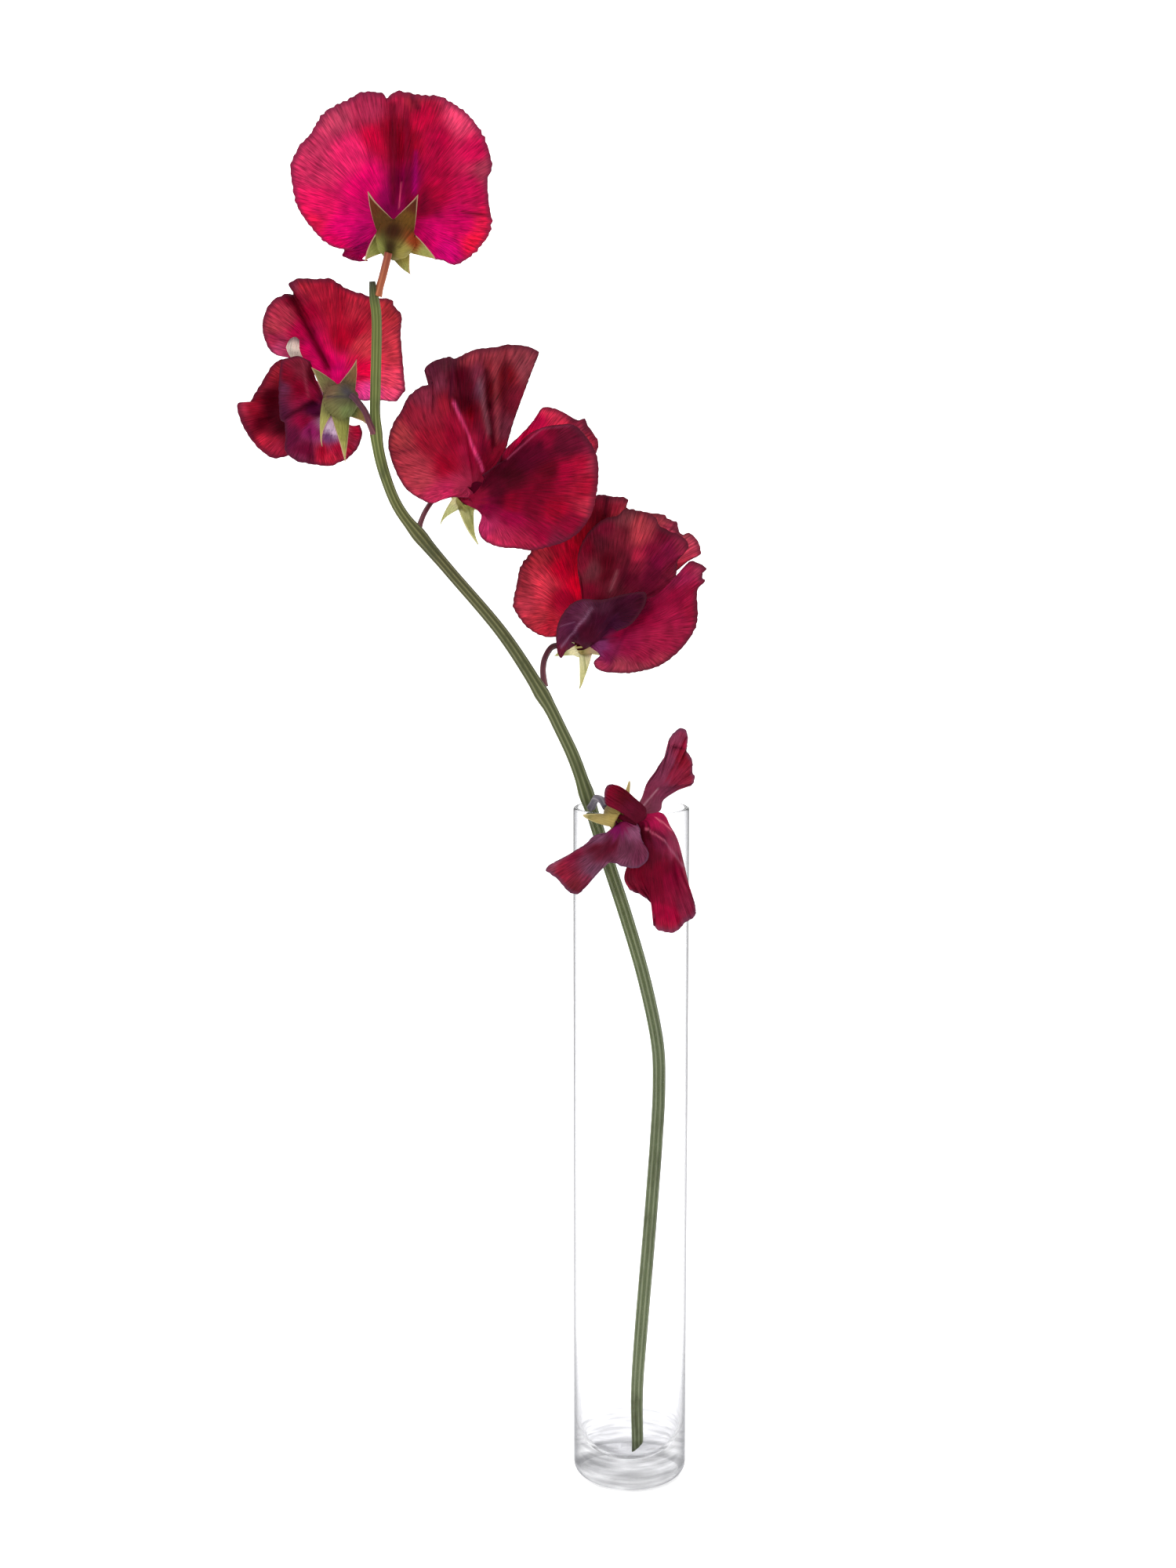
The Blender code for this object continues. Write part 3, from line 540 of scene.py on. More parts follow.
# %% Streaks group
streaks = bpy.data.node_groups.new("plant_streaks", "ShaderNodeTree")
add_sockets(streaks, "INPUT", Dark="Color", Pale="Color", Size="Float")
add_sockets(streaks, "OUTPUT", Colour="Color", Height="Float")
entry = add_node(streaks, "NodeGroupInput")
leave = add_node(streaks, "NodeGroupOutput")
coords = add_node(streaks, "ShaderNodeTexCoord")
fine = add_node(streaks, "ShaderNodeTexNoise", in3=4)
broad = add_node(streaks, "ShaderNodeTexNoise", in2=90)
squeeze = add_node(streaks, "ShaderNodeMapping", in3=(1, 1, 0.16))
both = add_node(streaks, "ShaderNodeMath", operation="MULTIPLY_ADD", in1=0.5)
ramp = add_node(streaks, "ShaderNodeMapRange", interpolation_type="SMOOTHSTEP", in1=0.35, in2=0.8)
tones = add_node(streaks, "ShaderNodeMix", data_type="RGBA")
join(
    streaks,
    (coords.outputs["Object"], squeeze.inputs["Vector"]),
    (squeeze.outputs[0], fine.inputs["Vector"]),
    (coords.outputs["Object"], broad.inputs["Vector"]),
    (entry.outputs["Size"], fine.inputs["Scale"]),
    (fine.outputs["Fac"], both.inputs[0]),
    (broad.outputs["Fac"], both.inputs[2]),
    (both.outputs[0], ramp.inputs["Value"]),
    (ramp.outputs[0], tones.inputs["Factor"]),
    (entry.outputs["Dark"], tones.inputs["A"]),
    (entry.outputs["Pale"], tones.inputs["B"]),
    (tones.outputs["Result"], leave.inputs["Colour"]),
    (both.outputs[0], leave.inputs["Height"]),
)
print("group sockets:", len(streaks.interface.items_tree))

# %% [markdown]
# Stalks, sepals and petals are all living skin: a pattern group colours the surface and the light that
# comes through from behind, a bump gives it a fine tooth, and the painted tint feeds the group.


# %% Living skin
def living_skin(name, group, tint_socket, strength, depth, glow):
    """A material coloured by the group, in front and from behind.

    Returns the material, its shader, its group node and its bump.
    """
    made = bpy.data.materials.new(name)
    made.use_nodes = True
    tree = made.node_tree
    skin = tree.nodes["Principled BSDF"]
    painted = add_node(tree, "ShaderNodeAttribute", attribute_name="tint")
    pattern = add_node(tree, "ShaderNodeGroup", node_tree=group)
    grain = add_node(tree, "ShaderNodeBump")
    set_inputs(grain, Strength=strength, Distance=depth)
    through = add_node(tree, "ShaderNodeBsdfTranslucent")
    mixed = add_node(tree, "ShaderNodeMixShader")
    set_inputs(mixed, Fac=glow)
    join(
        tree,
        (painted.outputs["Color"], pattern.inputs[tint_socket]),
        (pattern.outputs["Colour"], skin.inputs["Base Color"]),
        (pattern.outputs["Colour"], through.inputs["Color"]),
        (grain.outputs["Normal"], skin.inputs["Normal"]),
        (skin.outputs[0], mixed.inputs[1]),
        (through.outputs[0], mixed.inputs[2]),
        (mixed.outputs[0], tree.nodes["Material Output"].inputs["Surface"]),
    )
    return made, skin, pattern, grain


# %% Plant finish
def plant_finish(name, dark, glow, roughness=0.5):
    """Streaked skin over the tint; dark is the streak tone and glow the share of light that comes through."""
    made, skin, pattern, grain = living_skin(name, streaks, "Pale", 0.35, 0.15 * MM, glow)
    set_inputs(skin, Roughness=roughness, Sheen_Weight=0.12, Specular_IOR_Level=0.2)
    set_inputs(pattern, Dark=(*hue(dark), 1), Size=1400)
    join(made.node_tree, (pattern.outputs["Height"], grain.inputs["Height"]))
    return made


# %% Finish the stem
stem_green = plant_finish("stem_green", "3A3E20", glow=0.08)
hand_over(stem, "stem", "stem_green", stem_green)

# %% [markdown]
# ## Petals
# A petal is a living sheet a quarter of a millimetre thick: narrow at the claw that sits in the calyx,
# wide at the rim, creased where it was folded in the bud and frilled along its edge. Extruding and
# pulling such a surface by hand is slow, so each petal is a grid primitive laid over a few ribs that run
# from claw to rim. Creases and frills are pushed in along the depth, and Solidify gives the thickness
# last.


# %% Nearness to a line
def nearness(flat, start, end, width):
    """1 on the line from start to end, fading to 0 about a width away, for layout points (x, z)."""
    start, end = np.array(start, float), np.array(end, float)
    along = end - start
    share = np.clip(((flat - start) @ along) / (along @ along), 0, 1)
    away = np.linalg.norm(flat - start - share[..., None] * along, axis=-1)
    return np.exp(-((away / width) ** 2))


# %% Gentle waves
def waves(across, along, density, seed):
    """Smooth irregular values near -1 to 1 over a petal; density is the waves across it."""
    chance = np.random.default_rng(seed)
    total = 0
    for _ in range(5):
        many = density * chance.uniform(0.6, 1.4)
        lean = chance.uniform(-1.5, 1.5)
        phase = chance.uniform(0, 1)
        total = total + np.sin(2 * math.pi * (many * across + lean * along + phase))
    return total / 3


# %% Paint from spots
SPOT_DRIFT = 0.5
LINE_DRIFT = 0.08
SPOT_SOFTNESS = 0.8


# Spots and lines carry the petals' own colour together with painted shade, where petals fold, crease and
# overlap, and painted highlights and sheen along ridges and folds.
def paint(flat, spots, lines, drift=0):
    """Blends spots (x, z, hex), then strokes lines (start, end, width, hex, strength) over them."""
    weight, colour = 0, 0
    place = flat + SPOT_DRIFT * drift
    for x, z, code in spots:
        near = 1 / (((place - (x, z)) ** 2).sum(-1) + SPOT_SOFTNESS) ** 2
        colour = colour + near[..., None] * hue(code)
        weight = weight + near
    colour = colour / weight[..., None]
    for start, end, width, code, strength in lines:
        cover = (strength * nearness(flat + LINE_DRIFT * drift, start, end, width))[..., None]
        colour = colour * (1 - cover) + hue(code) * cover
    return colour


# %% Make a petal
PETAL_THICKNESS = 0.22 * MM
BROAD_WAVES = 7
FINE_WAVES = 19
FINE_SHARE = 0.4
TOOTH_LENGTH = 1.9


def make_petal(
    name, origin, ribs, spots, seed, lines=(), creases=(), rows=44, columns=120, ruffle=0.35, frill=0.12
):
    """Lofts a petal over ribs of (x, depth, z) in mm from the blossom's origin.

    Creases are (start, end, width, depth). Ruffle bends the outer half and frill notches the rim, in mm.
    """
    spread = np.stack([smooth_line(rib, columns) for rib in ribs])
    table = np.stack([smooth_line(spread[:, k], rows) for k in range(columns)], axis=1)
    across = np.linspace(0, 1, columns)[None, :]
    along = np.linspace(0, 1, rows)[:, None]
    flat = table[..., [0, 2]].copy()
    for start, end, width, depth in creases:
        table[..., 1] += depth * nearness(flat, start, end, width) * ease(0.2, 0.45, along)
    outer = ease(0.45, 1.0, along)
    table[..., 1] += ruffle * outer * waves(across, along, BROAD_WAVES, seed)
    table[..., 1] += FINE_SHARE * ruffle * outer * waves(across, along, FINE_WAVES, seed + 50)
    rim_length = np.linalg.norm(np.diff(table[-1], axis=0), axis=1).sum()
    teeth = rim_length / TOOTH_LENGTH
    edge = ease(0.86, 1.0, along)
    outward = table[-1] - table[-5]
    outward /= np.linalg.norm(outward, axis=1, keepdims=True) + 1e-9
    notch = waves(across, 0 * along, teeth, seed + 90)
    table += (frill * edge * notch)[..., None] * outward[None, :, :]
    table[..., 1] += 1.3 * frill * edge * waves(across, 0 * along, teeth * 0.8, seed + 130)
    drift = np.stack([waves(across, along, 6, seed + 7), waves(across, along, 5, seed + 8)], axis=-1)
    colour = paint(flat, spots, lines, drift)
    piece = lay_grid(name, fan_out(table, origin), colour)
    finish_modifier(piece, "SOLIDIFY", thickness=PETAL_THICKNESS, offset=0)
    return piece


# %% [markdown]
# ## Petal finish
# Colour lies in the petal in three scales: broad washes from claw to rim, painted on the mesh as the
# attribute tint together with painted shade in folds, creases and overlaps and painted highlights and sheen
# on ridges; fine veins that branch as they run outward, drawn along the petal's own UV map; and a thin
# darker edge. Skin cells make a satin sheen and a fine tooth, and some of the light comes through from
# behind.

# %% Veins group
veins = bpy.data.node_groups.new("petal_veins", "ShaderNodeTree")
add_sockets(veins, "INPUT", Count="Float", Strength="Float", Edge="Float", Edge_Start="Float", Streak="Float")
add_sockets(veins, "INPUT", Tint="Color", Vein_Tone="Color", Edge_Tone="Color")
add_sockets(veins, "OUTPUT", Colour="Color", Height="Float")


def vein_node(kind, **values):
    """A node of the veins group."""
    return add_node(veins, kind, **values)


def vein_join(*pairs):
    """Links output sockets to input sockets in the veins group."""
    join(veins, *pairs)


# %% Vein lines
entry = vein_node("NodeGroupInput")
leave = vein_node("NodeGroupOutput")
own = vein_node("ShaderNodeTexCoord")
across = vein_node("ShaderNodeSeparateXYZ")
sway = vein_node("ShaderNodeTexNoise", in2=4.0, in3=1.0)
swayed = vein_node("ShaderNodeMath", operation="MULTIPLY_ADD", in1=0.05)
vein_join((own.outputs["UV"], across.inputs[0]), (own.outputs["UV"], sway.inputs["Vector"]))
vein_join((sway.outputs["Fac"], swayed.inputs[0]), (across.outputs[0], swayed.inputs[2]))


def vein_lines(times, sharp):
    """Thin lines along the petal: Count times this many of them."""
    many = vein_node("ShaderNodeMath", operation="MULTIPLY", in1=times)
    spaced = vein_node("ShaderNodeMath", operation="MULTIPLY")
    folded = vein_node("ShaderNodeMath", operation="PINGPONG", in1=0.5)
    thin = vein_node("ShaderNodeMapRange", in1=0.0, in2=sharp, in3=1.0, in4=0.0)
    vein_join((entry.outputs["Count"], many.inputs[0]), (many.outputs[0], spaced.inputs[1]))
    vein_join((swayed.outputs[0], spaced.inputs[0]), (spaced.outputs[0], folded.inputs[0]))
    vein_join((folded.outputs[0], thin.inputs[0]))
    return thin.outputs[0]


main_veins = vein_lines(1.0, 0.2)
side_veins = vein_lines(2.0, 0.3)
later = vein_node("ShaderNodeMapRange", in1=0.45, in2=0.75)
side_share = vein_node("ShaderNodeMath", operation="MULTIPLY")
every_vein = vein_node("ShaderNodeMath", operation="MAXIMUM")
patchy = vein_node("ShaderNodeTexNoise", in2=11.0, in3=2.0)
kept = vein_node("ShaderNodeMath", operation="MULTIPLY")
vein_join((across.outputs[1], later.inputs[0]), (later.outputs[0], side_share.inputs[0]))
vein_join((side_veins, side_share.inputs[1]), (side_share.outputs[0], every_vein.inputs[0]))
vein_join((main_veins, every_vein.inputs[1]), (own.outputs["UV"], patchy.inputs["Vector"]))
vein_join((every_vein.outputs[0], kept.inputs[0]), (patchy.outputs["Fac"], kept.inputs[1]))

# %% Streaks between the veins
run = vein_node("ShaderNodeCombineXYZ")
fan = vein_node("ShaderNodeMath", operation="MULTIPLY")
fan_more = vein_node("ShaderNodeMath", operation="MULTIPLY", in1=8.0)
reach = vein_node("ShaderNodeMath", operation="MULTIPLY", in1=8.0)
fibres = vein_node("ShaderNodeTexNoise", in2=1.0, in3=3.0, in4=0.6)
fleck = vein_node("ShaderNodeTexNoise", in2=420.0, in3=2.0)
blend = vein_node("ShaderNodeMath", operation="MULTIPLY_ADD", in1=0.35)
centred = vein_node("ShaderNodeMath", operation="SUBTRACT", in1=0.675)
scaled = vein_node("ShaderNodeMath", operation="MULTIPLY")
level = vein_node("ShaderNodeMath", operation="ADD", in1=1.0)
streaked = vein_node("ShaderNodeHueSaturation")
vein_join((across.outputs[0], fan.inputs[0]), (entry.outputs["Count"], fan.inputs[1]))
vein_join((fan.outputs[0], fan_more.inputs[0]), (fan_more.outputs[0], run.inputs[0]))
vein_join((across.outputs[1], reach.inputs[0]), (reach.outputs[0], run.inputs[1]))
vein_join((run.outputs[0], fibres.inputs["Vector"]), (own.outputs["Object"], fleck.inputs["Vector"]))
vein_join((fleck.outputs["Fac"], blend.inputs[0]), (fibres.outputs["Fac"], blend.inputs[2]))
vein_join((blend.outputs[0], centred.inputs[0]), (centred.outputs[0], scaled.inputs[0]))
vein_join((entry.outputs["Streak"], scaled.inputs[1]), (scaled.outputs[0], level.inputs[0]))
vein_join((level.outputs[0], streaked.inputs["Value"]), (entry.outputs["Tint"], streaked.inputs["Color"]))

# %% Vein and edge colour
veined = vein_node("ShaderNodeMix", data_type="RGBA")
strong = vein_node("ShaderNodeMath", operation="MULTIPLY")
edge = vein_node("ShaderNodeMapRange", in2=0.997, interpolation_type="SMOOTHSTEP")
edged = vein_node("ShaderNodeMix", data_type="RGBA")
edge_share = vein_node("ShaderNodeMath", operation="MULTIPLY")
vein_join((kept.outputs[0], strong.inputs[0]), (entry.outputs["Strength"], strong.inputs[1]))
vein_join((strong.outputs[0], veined.inputs["Factor"]), (streaked.outputs[0], veined.inputs["A"]))
vein_join((entry.outputs["Vein Tone"], veined.inputs["B"]), (across.outputs[1], edge.inputs[0]))
vein_join((entry.outputs["Edge Start"], edge.inputs["From Min"]))
vein_join((edge.outputs[0], edge_share.inputs[0]), (entry.outputs["Edge"], edge_share.inputs[1]))
vein_join((edge_share.outputs[0], edged.inputs["Factor"]), (veined.outputs["Result"], edged.inputs["A"]))
vein_join((entry.outputs["Edge Tone"], edged.inputs["B"]), (edged.outputs["Result"], leave.inputs["Colour"]))
vein_join((kept.outputs[0], leave.inputs["Height"]))
print("vein nodes:", len(veins.nodes))


# %% Petal finish
def petal_finish(name, vein_tone, edge_tone, count, strength, edge, start=0.95, streak=2.5, glow=0.5):
    """Petal skin: the painted tint, veins and edge, with glow the share of light that comes through."""
    made, skin, pattern, grain = living_skin(name, veins, "Tint", 0.5, 0.12 * MM, glow)
    tree = made.node_tree
    set_inputs(skin, Sheen_Weight=0.01, Sheen_Roughness=0.4, Specular_IOR_Level=0.05)
    set_inputs(pattern, Count=count, Strength=strength, Edge=edge, Edge_Start=start, Streak=streak)
    set_inputs(pattern, Vein_Tone=(*hue(vein_tone), 1), Edge_Tone=(*hue(edge_tone), 1))
    place = add_node(tree, "ShaderNodeTexCoord")
    cells = add_node(tree, "ShaderNodeTexNoise")
    set_inputs(cells, Scale=2200, Detail=3)
    relief = add_node(tree, "ShaderNodeMath", operation="ADD")
    satin = add_node(tree, "ShaderNodeMapRange")
    set_inputs(satin, To_Min=0.42, To_Max=0.68)
    join(
        tree,
        (place.outputs["Object"], cells.inputs["Vector"]),
        (cells.outputs["Fac"], satin.inputs["Value"]),
        (satin.outputs[0], skin.inputs["Roughness"]),
        (cells.outputs["Fac"], relief.inputs[0]),
        (pattern.outputs["Height"], relief.inputs[1]),
        (relief.outputs[0], grain.inputs["Height"]),
    )
    return made


# %% [markdown]
# ## Calyx
# The calyx is a green cup that ends in five pointed sepals with paler, thinner margins. It is one grid
# wrapped round into a crown: every column climbs from the base, and stops early between two sepals or
# late at a tip.


# %% Make a calyx
CUP = [(0.0, 0.0), (0.04, 0.22), (0.12, 0.42), (0.3, 0.68), (0.58, 0.88), (1.0, 1.0)]
CUP_ROWS = 12
CUP_RIBS = 10
RIB_HEIGHT = 0.03
SEPAL_TAPER = 0.25
SEPAL_FOLD = 0.35
SEPAL_ROWS = 26
SEPAL_COLUMNS = 20
SEPAL_THICKNESS = 0.32 * MM


def make_calyx(name, origin, base, mouth, radius, up, tips, spots, lines=(), curl=1.2, blunt=0.85):
    """A cup from base to mouth with five sepals, which narrow the sooner, the smaller blunt is.

    Base, mouth and tips are (x, depth, z) in mm from the blossom's origin, and tips run clockwise from up.
    """
    base, mouth, *tips = [Vector(p) for p in fan_out([base, mouth, *tips], origin) / MM]
    axis = (mouth - base).normalized()
    up = Vector(up)
    up = (up - up.dot(axis) * axis).normalized()
    side = axis.cross(up)
    reach = (mouth - base).length
    cup = smooth_line([(along, 0, width) for along, width in CUP], CUP_ROWS)[:, [0, 2]]
    columns = 5 * SEPAL_COLUMNS
    table = np.zeros((CUP_ROWS + SEPAL_ROWS, columns + 1, 3))

    def ring_point(along, width, turn):
        out = up * math.cos(turn) + side * math.sin(turn)
        return base + axis * along * reach + out * width * radius

    for column in range(columns + 1):
        turn = 2 * math.pi * column / columns
        sepal = (column % columns) // SEPAL_COLUMNS
        swing = 2 * (column % SEPAL_COLUMNS) / SEPAL_COLUMNS - 1
        root_turn = 2 * math.pi * (sepal + 0.5) / 5
        root = ring_point(1, 1, root_turn)
        start = ring_point(1, 1, turn)
        top = 1 - abs(swing) ** blunt
        for row, (along, width) in enumerate(cup):
            table[row, column] = ring_point(along, width * (1 + RIB_HEIGHT * math.cos(CUP_RIBS * turn)), turn)
        for row in range(SEPAL_ROWS):
            share = top * (row + 1) / SEPAL_ROWS
            lean = (root - mouth).normalized() * curl * 2 * share * (1 - share)
            narrow = 1 - SEPAL_TAPER * share
            spine = root + (tips[sepal] - root) * share + lean
            fold = axis * SEPAL_FOLD * (1 - abs(swing)) * math.sin(math.pi * min(share * 1.2, 1))
            table[CUP_ROWS + row, column] = spine + (start - root) * narrow - fold * 0.6
    colour = paint(table[..., [0, 2]] - np.array(origin)[[0, 2]], spots, lines)
    piece = lay_grid(name, table * MM, colour)
    bpy.ops.object.mode_set(mode="EDIT")
    bpy.ops.mesh.select_all(action="SELECT")
    bpy.ops.mesh.remove_doubles(threshold=0.002 * MM)
    bpy.ops.mesh.normals_make_consistent(inside=False)
    bpy.ops.object.mode_set(mode="OBJECT")
    finish_modifier(piece, "SOLIDIFY", thickness=SEPAL_THICKNESS, offset=0)
    return piece


# %% [markdown]
# Sepals are painted and streaked by the petals' recipe. Their margins are pale and thin, so the edge tone
# is a light one that starts further in.


# %% Calyx finish
def calyx_finish(name, rib_tone, margin, glow=0.3):
    """Sepal skin: the petal recipe with a few dark ribs and a broad pale edge."""
    return petal_finish(name, rib_tone, margin, 30, 0.45, 0.85, start=0.84, streak=1.6, glow=glow)

# %% [markdown]
# ## One blossom at a time
# Every blossom is described the same way: a flower stalk, a calyx and four petals, each petal by its ribs
# and its colour washes, which carry painted shade and highlights as well as the petal's own colour. One
# helper grows a blossom from such a description and hands each piece to its frame node.


# %% Grow a blossom
STALK_RINGS = 40
STALK_SWELL = 0.2
SWELL_SHARE = 0.12


def grow(name, code, origin, stalk, calyx, petals, finishes):
    """finishes maps stalk, calyx and petals to (slot, material)."""
    path = smooth_line(fan_out(stalk["route"], origin), STALK_RINGS)
    along = np.linspace(0, 1, STALK_RINGS)
    girth = stalk["radius"] * (1 + STALK_SWELL * np.exp(-((along / SWELL_SHARE) ** 2)))
    piece = draw_stalk(f"{name}_stalk", path, girth * MM, 5, 0.06, stalk["tones"])
    hand_over(piece, f"{code}_pedicel", *finishes["stalk"])
    hand_over(make_calyx(f"{name}_calyx", origin, **calyx), f"{code}_calyx", *finishes["calyx"])
    for kind, plan in petals.items():
        hand_over(make_petal(f"{name}_{kind}", origin, **plan), f"{code}_{kind}", *finishes["petals"])


# %% [markdown]
# ## Top blossom
# It is seen from behind: the round standard fills the view, with the bud's centre fold still pressed into
# it. Behind it the two wings and the keel point away, so only a corner of one wing peeps out below.

# %% Top blossom's petals
top_petals = dict(
    standard=dict(
        ribs=[
            [(0.1, 0.0, 2.2), (0.55, -0.1, 2.35), (1.0, -0.2, 2.2)],
            [(0.6, 2.5, 4.6), (1.5, 2.3, 4.8), (2.4, 2.1, 4.6)],
            [(0.0, 5.2, 6.2), (1.5, 4.9, 6.7), (3.2, 5.2, 6.2)],
            [
                (-3.4, 6.4, 3.0), (-5.5, 6.2, 6.5), (-4.5, 6.0, 12.0), (1.5, 5.6, 15.0), (7.5, 6.0, 12.0),
                (9.0, 6.2, 6.5), (6.6, 6.4, 2.0),
            ],
            [
                (-7.9, 6.4, 0.6), (-10.7, 5.9, 0.9), (-13.1, 5.4, 2.1), (-15.2, 4.8, 4.2),
                (-17.4, 4.2, 7.0),
                (-18.9, 3.9, 9.7), (-19.6, 3.6, 13.0), (-20.0, 3.6, 17.5), (-19.0, 3.9, 19.8),
                (-17.9, 4.2, 21.8), (-15.9, 4.6, 23.7), (-13.3, 5.0, 27.7), (-10.6, 5.3, 29.5),
                (-7.9, 5.6, 30.7), (-5.0, 6.1, 32.2), (-0.9, 6.9, 32.0), (0.0, 7.2, 30.9), (0.9, 6.6, 31.6),
                (2.4, 5.9, 32.4), (4.8, 6.1, 32.0), (7.4, 6.4, 31.6), (10.8, 5.9, 31.4), (13.3, 5.4, 30.2),
                (16.4, 4.9, 28.1), (18.9, 4.4, 25.2), (20.4, 4.0, 22.5), (21.7, 3.6, 17.5),
                (20.8, 4.3, 15.0),
                (20.8, 4.6, 12.2), (21.1, 4.0, 9.1), (21.6, 3.6, 6.2), (20.9, 3.8, 3.5), (19.6, 4.1, 1.8),
                (17.9, 4.4, -0.2), (14.1, 5.4, -2.5), (11.6, 5.9, -1.7), (9.8, 6.4, -1.4),
            ],
        ],
        # The darker patches down the middle are painted shade, where the wings and keel behind show through
        # the standard.
        spots=[
            (-15.8, 21.4, "C83C69"), (-11.0, 27.4, "C04669"), (-14.3, 16.3, "CC3468"),
            (-8.0, 20.0, "DC2870"),
            (-4.9, 13.9, "DC0070"), (-14.3, 9.4, "DB1868"), (-15.8, 6.0, "E01A55"), (-9.6, 4.8, "E00078"),
            (-5.5, 3.3, "C80070"), (-11.0, 1.8, "DC0064"), (-2.2, 22.9, "C0003C"), (-3.3, 29.0, "B03058"),
            (1.3, 24.4, "980024"), (4.0, 22.0, "A00028"), (2.0, 30.4, "B01E46"), (5.4, 30.8, "A82840"),
            (7.6, 27.4, "B8003C"), (10.7, 22.9, "B00040"), (15.4, 27.4, "E04C78"), (18.3, 20.0, "CC0C58"),
            (20.0, 16.9, "A83C58"), (10.7, 15.4, "B40040"), (17.0, 12.4, "C00854"), (9.1, 12.4, "B00038"),
            (7.6, 9.4, "980034"), (20.2, 5.2, "D81C50"), (15.4, 6.2, "C80064"), (9.1, 3.3, "DC0078"),
            (12.3, 0.3, "CC0078"), (18.3, 1.8, "E81848"), (0.4, 9.4, "A0005C"), (4.5, 14.0, "8C0048"),
        ],
        # Dark strokes are painted shade in the bud's creases; the pale pink and purple strokes are painted
        # highlights along the fold's ridges.
        lines=[
            ((1.4, 29.5), (1.2, 10.0), 0.8, "64001A", 0.75), ((4.0, 29.0), (4.3, 9.0), 0.7, "6C0024", 0.65),
            ((5.4, 31.2), (6.6, 29.0), 0.6, "5A0A24", 0.7), ((2.9, 14.0), (2.3, 9.0), 0.18, "F06090", 0.8),
            ((15.5, 8.2), (21.2, 7.2), 0.35, "6C0820", 0.75),
            ((5.9, 20.0), (5.6, 12.0), 0.5, "B0007C", 0.5),
            ((8.0, 12.5), (7.0, 8.0), 0.9, "74002C", 0.5),
        ],
        creases=[
            ((1.4, 31.0), (1.2, 8.0), 0.9, -0.9), ((4.2, 31.0), (4.4, 8.0), 0.9, -0.8),
            ((2.9, 24.0), (2.4, 8.0), 0.5, 0.7), ((15.0, 8.0), (21.6, 7.2), 0.9, -0.9),
            ((-6.0, 31.0), (-2.5, 16.0), 0.9, 0.3), ((9.0, 12.0), (13.0, 26.0), 1.2, 0.35),
        ],
        rows=60, columns=260, ruffle=0.35, frill=0.16, seed=11,
    ),
    wing_left=dict(
        ribs=[
            [(-0.7, 1.4, 0.8), (-0.75, 1.15, 1.2), (-0.8, 0.9, 1.6)],
            [(-0.5, 4.4, 2.2), (-0.6, 4.3, 3.0), (-0.4, 4.0, 3.8)],
            [(-2.2, 7.6, 1.0), (-2.6, 7.8, 2.6), (-2.0, 8.0, 4.4)],
            [(-5.4, 10.6, -1.2), (-7.6, 13.0, 3.0), (-4.6, 13.0, 8.6)],
            [
                (-4.2, 8.6, -1.7), (-6.8, 9.4, -1.7), (-8.8, 10.2, -1.0), (-9.5, 10.8, -0.7),
                (-9.2, 12.4, 0.6), (-9.8, 17.0, 2.0), (-8.0, 23.0, 6.0),
                (-4.4, 24.0, 10.0), (-2.6, 18.0, 11.6), (-2.4, 13.0, 8.6),
            ],
        ],
        spots=[
            (-8.0, -0.6, "B4106C"), (-5.0, -1.0, "C00070"), (-7.0, 1.5, "8C0060"), (-6.0, 6.0, "C80070"),
            (-4.0, 10.0, "B82050"),
        ],
        seed=12,
    ),
    wing_right=dict(
        ribs=[
            [(2.1, 0.5, 0.5), (2.1, 0.3, 0.9), (2.05, 0.1, 1.3)],
            [(3.9, 3.2, 1.9), (3.9, 3.0, 2.7), (3.7, 2.7, 3.4)],
            [(5.2, 7.6, 1.4), (5.6, 7.8, 2.8), (5.0, 8.0, 4.4)],
            [(8.6, 11.0, 0.2), (10.4, 13.0, 3.4), (7.6, 13.0, 8.8)],
            [
                (8.4, 9.6, 0.6), (12.0, 11.4, 1.0), (12.8, 17.0, 3.2), (11.0, 23.0, 6.4), (7.4, 24.0, 10.2),
                (5.6, 18.0, 11.8), (5.4, 13.0, 8.8),
            ],
        ],
        spots=[(8.0, 2.0, "C00070"), (11.0, 4.0, "B81058"), (8.0, 9.0, "B82050")],
        seed=13,
    ),
    keel=dict(
        ribs=[
            [(0.4, 1.6, -0.1), (0.8, 1.5, -0.3), (1.2, 1.4, -0.1)],
            [(1.2, 4.7, 1.4), (1.9, 4.6, 1.0), (2.5, 4.4, 1.4)],
            [(0.4, 7.6, 2.2), (1.6, 8.0, 0.8), (2.9, 7.6, 2.2)],
            [(0.0, 14.0, 5.4), (1.6, 14.4, 1.4), (3.3, 14.0, 5.4)],
            [(1.0, 19.0, 8.4), (1.6, 20.0, 6.4), (2.3, 19.0, 8.4)],
        ],
        spots=[(1.0, 2.0, "E8B0C8"), (1.5, 6.0, "E0C0C8"), (1.6, 8.0, "D86890")],
        rows=30, columns=40, ruffle=0.12, frill=0.05, seed=14,
    ),
)

